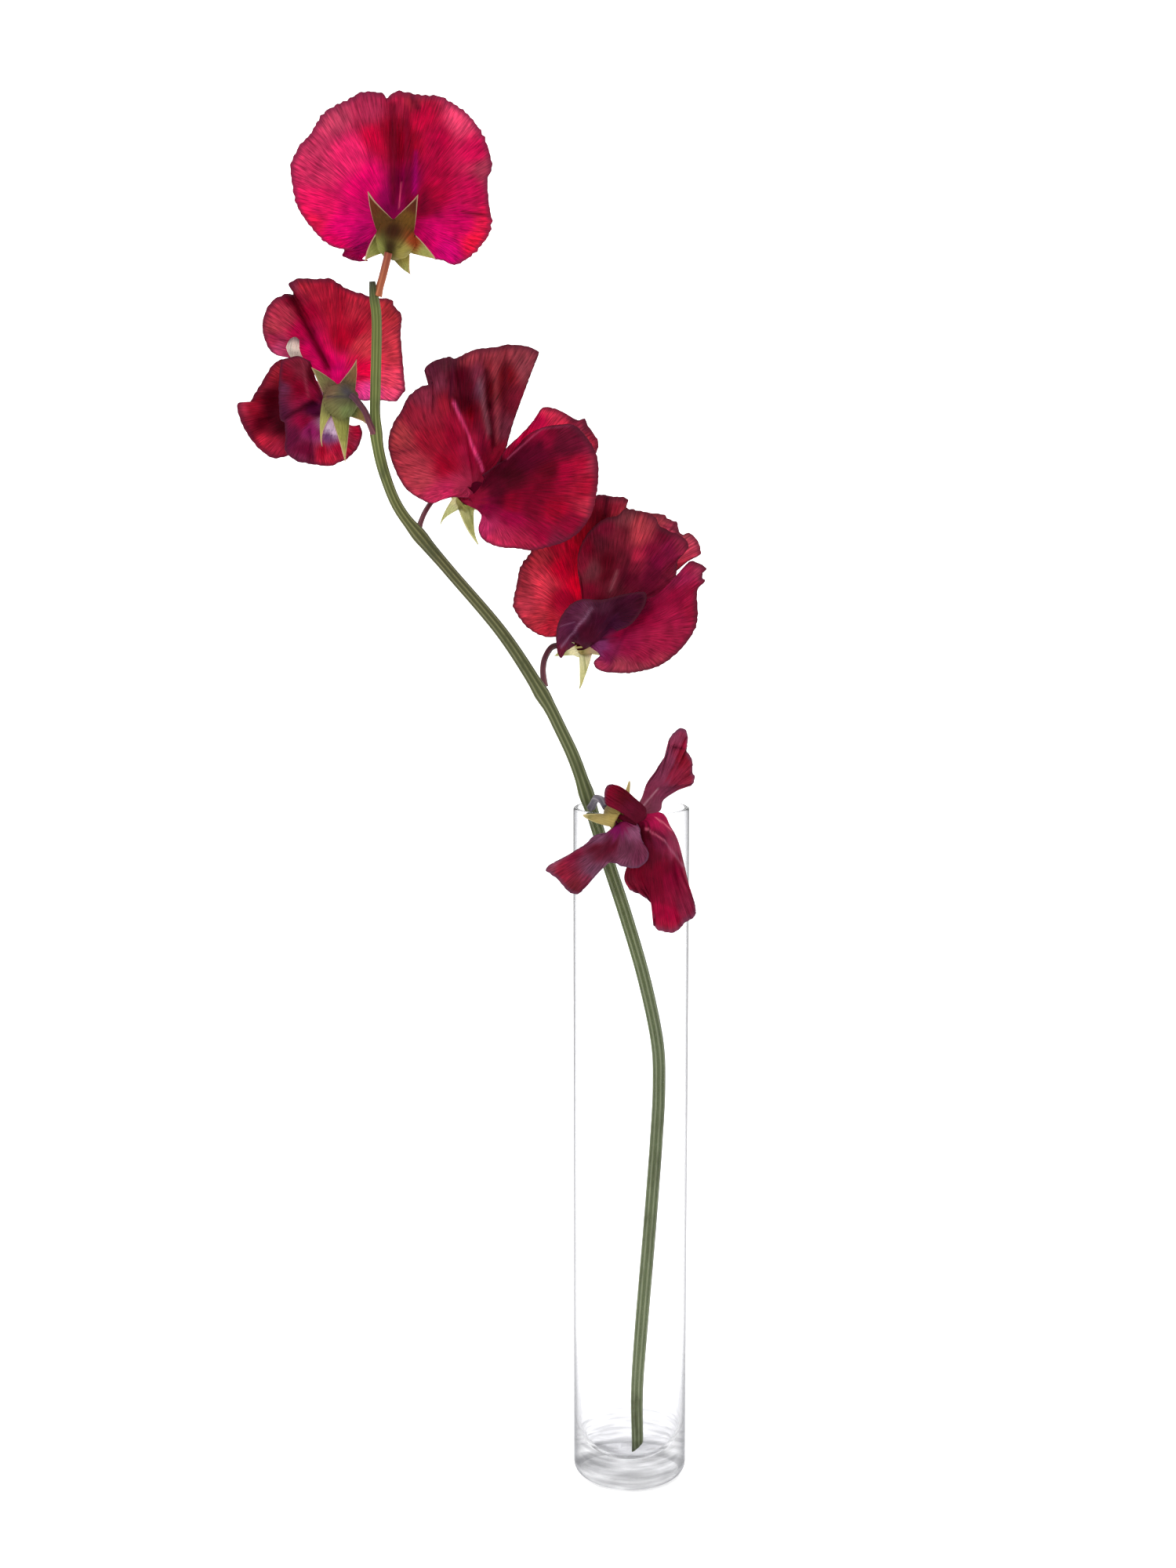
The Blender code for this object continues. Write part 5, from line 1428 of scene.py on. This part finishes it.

# %% [markdown]
# ## Right blossom
# It looks up and to the right. A bright red lobe of the standard hangs on the left, the wing that stands
# up in the middle is dark with painted shade where it lies over the standard, the other wing curves below
# like a lip, and the keel lies folded between them.

# %% Right blossom's petals
right_petals = dict(
    standard=dict(
        ribs=[
            [(-2.2, 5.4, 0.7), (-1.9, 5.8, 0.8), (-1.6, 6.1, 0.7)],
            [(-0.2, 3.4, 1.6), (0.2, 3.8, 1.8), (0.6, 4.2, 1.6)],
            [(-0.6, 0.8, 2.4), (0.8, 1.8, 3.4), (2.0, 2.0, 3.2)],
            [
                (-1.6, 0.4, 2.4), (-4.5, -0.4, 2.8), (-7.0, 1.2, 6.0), (-6.5, 3.0, 12.0), (-2.0, 4.8, 17.0),
                (3.0, 5.4, 19.0),
                (8.0, 5.6, 19.0), (13.0, 5.2, 18.0), (16.0, 4.6, 14.0), (13.0, 3.6, 10.4),
                (7.0, 2.8, 6.4),
            ],
            [
                (-1.8, 0.2, 1.8), (-3.6, -0.4, 1.4), (-5.5, -0.4, 1.3), (-7.8, 0.6, 1.3), (-10.0, 1.2, 2.2),
                (-12.0, 1.8, 3.7), (-13.6, 2.4, 5.8),
                (-14.6, 3.0, 7.7), (-14.4, 3.6, 9.8), (-13.8, 4.0, 12.5), (-13.5, 4.2, 14.3),
                (-12.9, 4.5, 16.4), (-11.2, 4.8, 18.7), (-8.0, 5.2, 23.5), (-3.0, 5.8, 27.5),
                (2.6, 6.4, 30.8),
                (4.2, 6.8, 31.3), (5.6, 7.0, 31.0), (7.5, 7.0, 30.8), (9.0, 7.0, 30.7), (9.8, 7.0, 30.1),
                (9.3, 6.9, 28.6), (12.1, 6.6, 27.9), (14.8, 6.4, 27.4), (17.3, 6.2, 27.1),
                (18.2, 6.0, 26.2),
                (20.0, 5.9, 25.5), (20.5, 5.8, 23.8), (21.3, 5.7, 22.8), (22.5, 5.5, 23.3),
                (23.7, 5.3, 22.5),
                (24.5, 5.2, 21.6), (25.1, 5.0, 19.8), (25.1, 4.9, 18.7), (22.5, 4.6, 17.4),
                (18.0, 4.0, 13.4),
                (12.0, 3.4, 9.0), (6.4, 2.6, 5.4),
            ],
        ],
        spots=[
            (-12.5, 12.4, "B03848"), (-9.5, 18.0, "B83848"), (-13.1, 8.0, "BC3C50"), (-8.0, 12.4, "E04860"),
            (-9.5, 5.0, "C03848"), (-6.6, 3.5, "C42840"), (-4.5, 15.4, "C80038"), (-3.6, 9.5, "B00034"),
            (-2.1, 20.0, "B80030"), (-5.0, 20.8, "B00C34"), (-0.6, 22.9, "B00C2C"), (-0.8, 12.4, "E0003C"),
            (3.6, 26.5, "740820"), (3.9, 29.6, "901C38"), (6.8, 29.0, "A82844"), (6.8, 30.4, "C85068"),
            (9.8, 26.5, "E06C74"), (12.8, 26.3, "E85C68"), (13.0, 21.4, "CC4454"), (17.2, 26.0, "C85868"),
            (18.9, 24.2, "D85878"), (23.2, 21.4, "E05C78"), (24.1, 19.0, "D85070"), (22.2, 22.6, "D86878"),
            (8.0, 18.0, "80142C"), (16.0, 16.0, "8C1038"),
        ],
        # These strokes are painted shade in the creases.
        lines=[
            ((9.8, 28.3), (10.4, 24.0), 0.5, "6C4048", 0.5),
            ((20.6, 23.6), (17.0, 24.8), 0.4, "5C1830", 0.6),
            ((5.4, 30.6), (5.0, 27.0), 0.5, "4A0A22", 0.7),
        ],
        creases=[
            ((-6.0, 3.0), (-5.0, 18.0), 1.4, 0.7), ((-11.0, 4.0), (-10.0, 16.0), 1.2, -0.4),
            ((9.6, 29.0), (10.0, 22.0), 0.7, -0.8), ((20.6, 24.0), (16.0, 20.0), 0.8, -0.7),
            ((5.0, 31.0), (4.6, 24.0), 0.7, 0.7), ((14.6, 27.0), (13.4, 20.0), 0.7, 0.5),
        ],
        rows=60, columns=240, ruffle=0.4, frill=0.12, seed=41,
    ),
    wing_left=dict(
        ribs=[
            [(-2.5, 4.9, -0.8), (-2.5, 4.9, -0.3), (-2.5, 4.9, 0.2)],
            [(-0.8, 2.4, -0.1), (-0.8, 2.4, 0.4), (-0.8, 2.4, 0.9)],
            [(0.6, -0.6, 2.2), (1.2, -0.4, 3.2), (2.2, -0.2, 3.8)],
            [
                (0.4, -0.2, 6.0), (0.4, 0.4, 12.0), (5.0, -0.6, 14.5), (10.0, -0.6, 14.5),
                (14.6, -0.8, 12.0),
                (11.0, -1.0, 8.0), (5.6, -0.8, 5.0),
            ],
            [
                (0.6, -0.2, 5.0), (0.4, 0.2, 8.6), (-0.3, 0.6, 12.6), (-0.8, 0.8, 15.0), (-0.8, 0.8, 18.5),
                (0.4, 0.8, 21.9), (2.6, 0.8, 24.6), (5.0, 0.9, 26.3), (7.5, 1.0, 26.8), (9.0, 1.2, 28.2),
                (11.0, 1.3, 28.0), (13.6, 1.3, 27.5), (15.6, 1.2, 26.4), (16.2, 1.0, 25.0),
                (17.4, 0.8, 24.2),
                (19.0, 0.7, 23.4), (21.0, 0.4, 22.6), (22.6, 0.0, 20.8), (22.0, -0.2, 19.4),
                (20.4, -0.5, 17.6),
                (20.0, -0.8, 14.4), (19.4, -1.2, 11.0), (18.4, -1.4, 8.8), (14.5, -1.4, 7.4),
                (9.0, -1.2, 5.8),
                (5.2, -0.9, 4.2),
            ],
        ],
        # Its dark red is painted shade where the wing lies over the standard; the brown-grey patch near the
        # claw is painted sheen.
        spots=[
            (0.9, 20.2, "90082C"), (-0.4, 16.9, "981838"), (2.3, 15.4, "8A3A48"), (3.8, 21.4, "701C30"),
            (5.3, 24.4, "94183C"), (8.3, 25.9, "94404C"), (8.3, 22.9, "842034"), (5.3, 16.9, "640018"),
            (5.3, 13.9, "68041C"), (8.9, 18.4, "74182C"), (11.9, 19.3, "DC3058"), (14.3, 19.5, "8C0C38"),
            (15.8, 16.9, "84083C"), (18.7, 19.9, "8C1444"), (17.2, 22.9, "740C2C"), (21.1, 20.8, "9C2848"),
            (18.7, 14.8, "902040"), (14.3, 13.9, "780C34"), (9.8, 13.9, "780C30"), (6.9, 12.4, "8C2C40"),
            (1.5, 11.0, "900C30"), (11.5, 16.0, "8A1C38"),
            (12.0, 22.6, "D04858"), (12.6, 25.6, "C44854"), (10.4, 27.0, "A04C54"), (14.4, 26.6, "A83C4C"),
        ],
        # The dark strokes are painted shade in the creases; the pale stroke near the claw is a painted sheen
        # streak.
        lines=[
            ((10.6, 20.0), (8.0, 11.5), 0.8, "5C1428", 0.5),
            ((7.4, 15.0), (6.0, 11.0), 0.35, "B06470", 0.5),
            ((19.5, 12.0), (14.0, 17.0), 0.5, "560828", 0.5),
        ],
        creases=[
            ((11.6, 22.0), (8.0, 10.0), 1.0, 0.9), ((14.6, 22.0), (12.0, 12.0), 0.9, -0.7),
            ((3.0, 22.0), (4.0, 10.0), 2.0, -0.9), ((19.0, 20.0), (12.5, 12.5), 1.0, 0.5),
        ],
        rows=56, columns=170, ruffle=0.3, frill=0.08, seed=42,
    ),
    wing_right=dict(
        ribs=[
            [(-1.1, 6.3, -0.8), (-1.1, 6.3, -0.3), (-1.1, 6.4, 0.2)],
            [(1.5, 4.8, -0.5), (1.6, 4.8, 0.1), (1.6, 4.8, 0.7)],
            [(2.2, 0.2, -1.2), (3.2, -0.2, 1.0), (2.6, -0.4, 3.2)],
            [
                (3.4, -0.8, -1.6), (6.0, -2.2, -4.0), (11.0, -4.5, -2.0), (16.0, -6.2, 3.0),
                (17.0, -6.0, 8.0),
                (12.6, -3.6, 7.6), (7.0, -2.2, 5.8), (3.0, -0.9, 4.6),
            ],
            [
                (1.8, -0.4, 0.0), (3.1, -0.6, -1.4), (3.8, -0.9, -2.7), (2.7, -1.2, -3.8),
                (2.7, -1.4, -5.0), (4.4, -2.2, -6.1), (7.4, -3.4, -6.4),
                (10.5, -4.9, -6.4), (14.5, -6.7, -5.6), (17.2, -8.1, -4.5), (20.0, -9.5, -2.4),
                (22.4, -10.4, 0.3), (24.2, -10.9, 3.4), (24.6, -10.8, 6.4), (24.4, -10.6, 9.5),
                (24.6, -10.7, 11.6), (26.1, -10.9, 13.1), (25.5, -10.8, 13.9), (25.6, -10.7, 14.9),
                (26.4, -10.7, 15.7), (25.3, -10.4, 16.6), (23.8, -9.2, 17.2), (22.5, -8.4, 17.0),
                (20.6, -7.0, 14.0), (18.0, -5.6, 10.8),
                (14.0, -4.2, 9.6), (8.6, -2.6, 7.6), (2.6, -1.2, 6.0),
            ],
        ],
        # The dark patches by the claw are painted shade from the keel above it.
        spots=[
            (23.0, 16.4, "A82450"), (21.7, 14.4, "A82458"), (25.3, 15.4, "A03454"), (23.2, 11.0, "A01440"),
            (15.8, 9.5, "940C3C"), (20.2, 9.5, "980C3C"), (14.3, 5.0, "A00C40"), (12.8, 7.1, "780A34"),
            (20.2, 5.0, "A81848"), (23.6, 6.5, "A0143C"), (17.2, 0.5, "A81C48"), (21.7, 0.5, "A42048"),
            (12.8, -2.5, "A81C48"), (17.2, -4.0, "A03048"), (9.8, -1.0, "981044"), (8.3, 2.0, "A80C48"),
            (6.8, 0.5, "9C1C50"), (4.4, -0.8, "9C4480"), (4.0, 2.0, "4C1034"), (6.8, 3.2, "601040"),
            (3.0, 4.2, "3C0C28"), (5.3, -2.5, "84144C"), (3.8, -4.6, "B83C60"),
            (8.3, -5.5, "A03C50"), (12.8, -5.8, "A03C50"),
        ],
        lines=[
            ((6.6, -3.6), (9.4, 2.4), 0.45, "5C0834", 0.5),
            ((22.6, 16.8), (19.4, 11.5), 0.4, "7C1038", 0.5),
        ],
        creases=[((4.4, 0.0), (16.0, 8.0), 1.2, 0.8), ((22.8, 16.6), (18.0, 9.0), 0.9, 0.6)],
        rows=56, columns=180, ruffle=0.28, frill=0.1, seed=43,
    ),
    keel=dict(
        ribs=[
            [(-1.3, 5.8, -1.4), (-1.65, 5.5, -1.5), (-2.0, 5.2, -1.4)],
            [(0.9, 3.7, -1.1), (0.55, 3.4, -1.3), (0.2, 3.0, -1.1)],
            [(3.6, -1.4, 0.6), (1.4, -1.7, 0.3), (-0.8, -1.4, -0.1)],
            [(6.0, -4.2, 3.2), (8.0, -5.5, 7.0), (2.4, -4.7, 6.0), (-1.8, -4.2, 3.8), (-2.4, -3.6, 0.2)],
            [
                (7.5, -4.6, 2.5), (10.5, -5.8, 4.0), (13.3, -6.8, 7.9), (13.6, -6.8, 10.4),
                (12.4, -6.8, 10.8),
                (9.0, -6.2, 10.3), (4.4, -5.6, 9.2), (0.4, -5.2, 9.3), (-1.7, -5.0, 8.6), (-3.5, -4.7, 7.0),
                (-5.1, -4.4, 4.0), (-5.5, -4.2, 0.8), (-5.2, -4.0, -1.8), (-4.4, -3.9, -3.2),
                (-3.5, -3.6, -1.8), (-1.3, -3.1, -0.4),
            ],
        ],
        # The mauve patch at the top is painted sheen.
        spots=[
            (-3.6, 5.0, "602040"), (-4.5, 0.5, "642444"), (-4.2, -2.2, "742038"), (-0.6, 8.0, "5C2040"),
            (0.9, 6.8, "743C58"), (-2.1, 3.5, "5C2044"), (3.8, 8.0, "502038"), (3.8, 5.0, "4C0C2C"),
            (0.9, 2.6, "58102C"), (8.3, 8.0, "3C0A24"), (12.6, 8.6, "440C24"), (6.8, 3.8, "3E1030"),
            (11.3, 10.2, "501030"),
        ],
        lines=[
            ((-4.4, -1.0), (2.2, 7.4), 0.22, "A87898", 0.55),
            ((-4.6, 3.6), (-1.4, 4.4), 0.15, "946080", 0.5),
            ((-1.8, 0.8), (2.0, 5.2), 0.6, "3A0A24", 0.5),
        ],
        creases=[((-4.4, -2.0), (2.4, 7.6), 1.0, -1.1), ((3.0, 3.0), (12.0, 9.5), 1.8, 1.0)],
        rows=50, columns=130, ruffle=0.18, frill=0.05, seed=44,
    ),
)

# %% Grow the right blossom
red_petal = petal_finish("petal_red", "6E0E26", "5A2434", count=34, strength=0.5, edge=0.7)
grow(
    "right",
    "f4",
    (-10.6, 0.0, 185.2),
    dict(
        tones=MAROON_TONES,
        route=[
            (-8.0, 0.2, -9.2), (-8.2, 1.0, -7.4), (-8.3, 1.8, -5.4), (-7.8, 3.0, -3.0), (-6.2, 5.0, -0.8),
            (-3.0, 6.5, -0.6),
        ],
        radius=0.65,
    ),
    dict(
        base=(-2.8, 6.6, -0.6), mouth=(0.4, 3.6, 0.2), radius=3.2, up=(-0.25, 0.27, 0.93),
        tips=[(-3.4, 7.0, 6.4), (-5.9, 3.4, -2.8), (-0.5, 1.4, -9.8), (3.6, 1.8, -2.6), (3.0, 6.6, 7.2)],
        spots=[
            (-1.6, -1.4, "F0E8C0"), (-4.4, -2.2, "B4B27A"), (-0.6, -4.0, "E0DCB0"), (0.4, -7.0, "D8D4A0"),
            (-0.4, -9.4, "C8BC70"), (2.6, -1.8, "F0E0C8"), (1.0, 0.0, "D0C8A0"),
        ],
        lines=[((0.2, -2.0), (0.8, -7.0), 0.2, "8A8E50", 0.6)],
    ),
    right_petals,
    dict(
        stalk=("pedicel_maroon", maroon_stalk),
        calyx=("calyx_pale", pale_calyx),
        petals=("petal_red", red_petal),
    ),
)

# %% [markdown]
# ## Withered blossom
# The oldest flower hangs at the vase's mouth. Its petals have gone limp: the standard is rolled into a
# strip, one wing trails to the left, the other hangs down in front of the glass, and the sepals have
# turned to straw.

# %% Withered blossom's petals
withered_petals = dict(
    standard=dict(
        ribs=[
            [(-0.1, -0.1, 0.4), (0.0, 0.3, 0.3), (0.1, 0.6, 0.2)],
            [(2.2, -1.0, -0.6), (2.3, -0.6, -0.7), (2.4, -0.2, -0.8)],
            [(5.4, -1.4, 1.4), (7.2, -1.3, 0.5), (9.3, -1.2, -0.6)],
            [(6.9, -1.4, 5.2), (9.4, -2.2, 3.8), (10.4, -1.4, 1.9)],
            [(8.5, -1.4, 7.6), (11.5, -2.8, 6.2), (13.2, -1.4, 3.9)],
            [
                (10.1, -1.4, 10.0), (11.4, -1.4, 12.2), (11.6, -1.2, 14.6), (12.9, -1.2, 16.3),
                (14.2, -1.6, 17.0), (15.2, -1.8, 16.2), (15.4, -2.2, 14.1), (15.2, -2.4, 12.4),
                (16.1, -2.6, 10.9), (16.5, -2.6, 9.7), (16.4, -2.4, 8.3), (16.9, -1.8, 6.5),
                (16.4, -1.0, 5.2),
                (15.2, -0.8, 4.7),
            ],
        ],
        spots=[
            (7.7, 3.7, "84304C"), (9.8, 7.5, "803450"), (11.4, 10.6, "803450"), (13.2, 14.9, "8C3C58"),
            (14.9, 13.8, "B01440"), (14.4, 10.6, "981830"), (16.0, 6.8, "902038"), (12.9, 6.8, "90203C"),
            (11.4, 3.4, "7C304C"), (6.6, 0.7, "94485C"), (8.6, 1.0, "7C3850"),
        ],
        # The dark strokes are painted shade along creases and folds, and the pale one is a painted highlight
        # along a fold.
        lines=[
            ((12.6, 13.2), (15.2, 12.4), 0.25, "5A0C24", 0.8), ((6.2, 0.6), (9.4, 4.4), 0.2, "C08898", 0.7),
            ((9.4, 4.4), (15.8, 5.0), 0.3, "5A2034", 0.5),
        ],
        creases=[((6.5, 1.0), (13.0, 9.0), 0.9, 0.8), ((12.4, 13.0), (15.4, 12.4), 0.6, 0.8)],
        rows=50, columns=110, ruffle=0.4, frill=0.1, seed=51,
    ),
    wing_left=dict(
        ribs=[
            [(-1.1, -0.2, -1.2), (-1.0, 0.1, -1.3), (-0.9, 0.4, -1.3)],
            [(0.7, -1.3, -2.7), (0.8, -0.9, -2.9), (0.9, -0.5, -3.0)],
            [(0.2, -2.4, -3.8), (1.4, -2.6, -3.4), (2.4, -2.4, -2.6)],
            [
                (-0.8, -2.8, -4.8), (-4.6, -3.4, -7.2), (-1.5, -4.0, -8.6), (2.0, -4.6, -8.8),
                (4.6, -4.4, -7.0),
                (4.8, -3.2, -3.4),
            ],
            [
                (-0.4, -2.6, -4.6), (-1.8, -2.8, -5.0), (-4.0, -3.0, -5.6), (-5.8, -3.1, -7.4),
                (-9.9, -3.0, -10.0), (-13.3, -3.0, -11.8), (-14.0, -3.0, -12.9),
                (-13.1, -3.2, -13.6), (-11.3, -3.4, -15.0), (-10.5, -3.6, -16.1), (-8.9, -3.8, -17.6),
                (-7.4, -3.8, -17.9), (-6.1, -3.7, -16.8), (-4.5, -3.6, -14.9), (-3.0, -3.5, -12.3),
                (-0.5, -3.6, -11.2), (2.3, -4.2, -12.1), (5.1, -4.8, -12.3), (7.0, -5.0, -11.0),
                (7.4, -5.0, -9.1), (6.5, -4.6, -7.5), (5.8, -4.0, -5.8),
                (5.6, -3.6, -4.0), (4.6, -2.8, -2.3),
            ],
        ],
        # The mauve-grey patches are painted sheen on the folds.
        spots=[
            (-13.3, -12.7, "8C3C50"), (-10.2, -13.0, "8C1C34"), (-8.0, -16.2, "701C28"),
            (-8.7, -9.9, "7C1434"),
            (-6.2, -15.5, "7C2840"), (-4.7, -13.0, "704058"), (-3.5, -7.9, "5C0C20"),
            (-3.5, -6.0, "7C4864"),
            (-0.4, -8.0, "5C0C24"), (0.9, -3.9, "7C0C54"), (2.1, -3.2, "881848"), (2.7, -8.3, "6C3048"),
            (5.2, -9.9, "702C48"), (4.4, -5.0, "905070"), (2.1, -11.4, "743C54"), (6.6, -9.0, "7C3450"),
        ],
        # The pale mauve strokes are painted sheen on the folds.
        lines=[
            ((-5.0, -6.6), (-12.8, -11.8), 0.35, "8A5068", 0.6),
            ((-4.2, -14.2), (-1.0, -11.4), 0.35, "8A6078", 0.6),
        ],
        creases=[((0.0, -6.5), (-10.0, -13.0), 1.4, 0.9), ((0.5, -6.0), (4.5, -11.0), 1.0, -0.7)],
        rows=50, columns=130, ruffle=0.35, frill=0.1, seed=52,
    ),
    wing_right=dict(
        ribs=[
            [(-0.3, 1.1, -0.9), (-0.25, 1.1, -0.6), (-0.2, 1.1, -0.3)],
            [(2.0, 0.6, -2.4), (2.0, 0.6, -2.0), (2.0, 0.6, -1.6)],
            [(4.2, -2.2, -3.6), (7.2, -1.8, -2.4), (9.6, -1.2, -0.6)],
            [(3.0, -2.4, -6.8), (7.0, -3.2, -5.6), (10.6, -2.8, -4.4), (11.9, -1.2, -3.6)],
            [(3.4, -2.2, -10.0), (7.4, -3.4, -8.4), (11.6, -3.6, -7.0), (13.6, -1.2, -7.0)],
            [(2.4, -2.2, -14.4), (7.6, -3.6, -14.0), (12.8, -3.6, -13.4), (15.2, -1.2, -13.4)],
            [
                (3.6, -2.2, -17.1), (6.1, -2.6, -18.2), (8.6, -3.0, -20.3), (9.5, -3.0, -21.9),
                (8.9, -3.1, -22.6), (8.5, -3.2, -24.2), (9.2, -3.3, -25.3), (11.0, -3.8, -26.0),
                (13.2, -4.2, -25.9), (15.2, -3.6, -23.9), (16.9, -2.4, -22.9), (17.3, -2.0, -21.6),
                (17.0, -1.6, -19.7), (16.2, -1.2, -17.2),
            ],
        ],
        spots=[
            (8.9, -2.4, "B81450"), (11.0, -3.0, "A02048"), (12.9, -6.7, "943050"), (6.4, -5.4, "480010"),
            (7.7, -9.9, "600820"), (9.8, -6.7, "681030"), (9.8, -13.0, "700020"), (5.2, -14.0, "780020"),
            (3.3, -15.2, "801830"), (8.3, -16.2, "700020"), (12.9, -14.6, "8A0030"),
            (15.3, -16.2, "881838"),
            (16.0, -20.9, "8C2040"), (11.4, -22.5, "A00034"), (11.4, -25.0, "A8183C"),
            (4.6, -10.0, "640018"),
        ],
        # The pale strokes are painted highlights along the folds, and the dark one is painted shade in a
        # fold.
        lines=[
            ((6.8, -4.0), (10.6, -6.6), 0.2, "D0607C", 0.7),
            ((10.6, -6.6), (14.6, -12.0), 0.22, "B0607C", 0.6),
            ((12.6, -11.0), (13.6, -18.0), 0.6, "5C001C", 0.55),
            ((9.0, -1.8), (12.2, -4.4), 0.15, "F08098", 0.6),
        ],
        creases=[
            ((6.8, -4.0), (14.6, -12.6), 0.8, -1.0), ((12.4, -11.0), (13.8, -20.0), 1.2, 0.9),
            ((4.6, -6.0), (6.4, -14.0), 1.4, 0.6),
        ],
        rows=60, columns=130, ruffle=0.4, frill=0.14, seed=53,
    ),
    keel=dict(
        ribs=[
            [(-0.8, -0.5, -0.7), (-0.75, -0.6, -0.4), (-0.8, -0.6, -0.1)],
            [(1.2, -1.8, -2.0), (1.3, -1.8, -1.6), (1.3, -1.8, -1.2)],
            [(4.8, -4.0, -3.0), (6.8, -4.4, -1.8), (6.8, -3.8, -0.4)],
            [(1.2, -4.6, -0.4), (3.0, -5.4, 1.4), (4.2, -4.2, 2.6)],
            [(-0.8, -4.4, 0.6), (0.2, -5.0, 2.8), (1.7, -4.2, 4.6)],
            [(-1.7, -3.8, 1.4), (-1.8, -4.0, 3.3), (-1.3, -4.0, 4.9), (-0.2, -3.8, 5.2)],
        ],
        spots=[
            (-1.0, 4.0, "8C0828"), (-1.0, 1.5, "780828"), (2.1, 2.7, "600818"), (3.3, 0.5, "640C28"),
            (5.6, -1.4, "580820"),
        ],
        rows=40, columns=60, ruffle=0.15, frill=0.06, seed=54,
    ),
)

# %% Grow the withered blossom
grey_stalk = plant_finish("pedicel_grey", "241E28", roughness=0.7, glow=0.03)
straw_calyx = calyx_finish("calyx_tan", "5E5228", "C0B080", glow=0.15)
wine_petal = petal_finish("petal_wine", "50102C", "604058", count=28, strength=0.45, edge=0.6, glow=0.35)
grow(
    "withered",
    "f5",
    (-4.1, -15.0, 151.6),
    dict(
        tones=[(0.0, "48404C", "8C8488")],
        route=[(-4.6, 12.4, 0.4), (-4.1, 10.6, 1.2), (-3.5, 7.0, 2.3), (-2.4, 3.0, 1.9), (-1.5, 0.9, 0.4)],
        radius=0.75,
    ),
    dict(
        base=(-1.5, 0.7, 0.2), mouth=(1.6, -0.6, -1.8), radius=2.8, up=(0.5, 0.0, 0.85), curl=1.0,
        blunt=2.0,
        tips=[(3.3, 0.8, 5.9), (-6.2, -1.2, -1.2), (-1.8, 0.4, -5.4), (4.2, 1.6, -6.0), (9.6, 1.6, 0.4)],
        spots=[
            (0.0, -1.0, "A08C50"), (-1.6, 0.6, "6C5C40"), (1.6, -3.6, "94844C"), (-3.4, -2.6, "A08E58"),
            (-5.6, -1.4, "7E7444"), (3.8, 3.0, "B4A068"), (6.6, 0.6, "A89060"),
        ],
    ),
    withered_petals,
    dict(
        stalk=("pedicel_grey", grey_stalk),
        calyx=("calyx_tan", straw_calyx),
        petals=("petal_wine", wine_petal),
    ),
)

# %% [markdown]
# ## The size and the triangle count
# The finished spray has to keep the frame's size, so both boxes are printed, with the triangle count of the
# shown meshes. Each piece was tied to the body it moves with when it was handed over.

# %% Sizes
made_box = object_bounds()
sizes = {"cad": [list(corner) for corner in frame_box], "visual": [list(corner) for corner in made_box]}
for name, box in sizes.items():
    print(name, [[round(value / MM, 1) for value in corner] for corner in box])
shown = [piece.data for piece in bpy.data.objects if piece.type == "MESH" and not piece.hide_render]
print("triangles:", sum(len(mesh.loop_triangles) for mesh in shown))
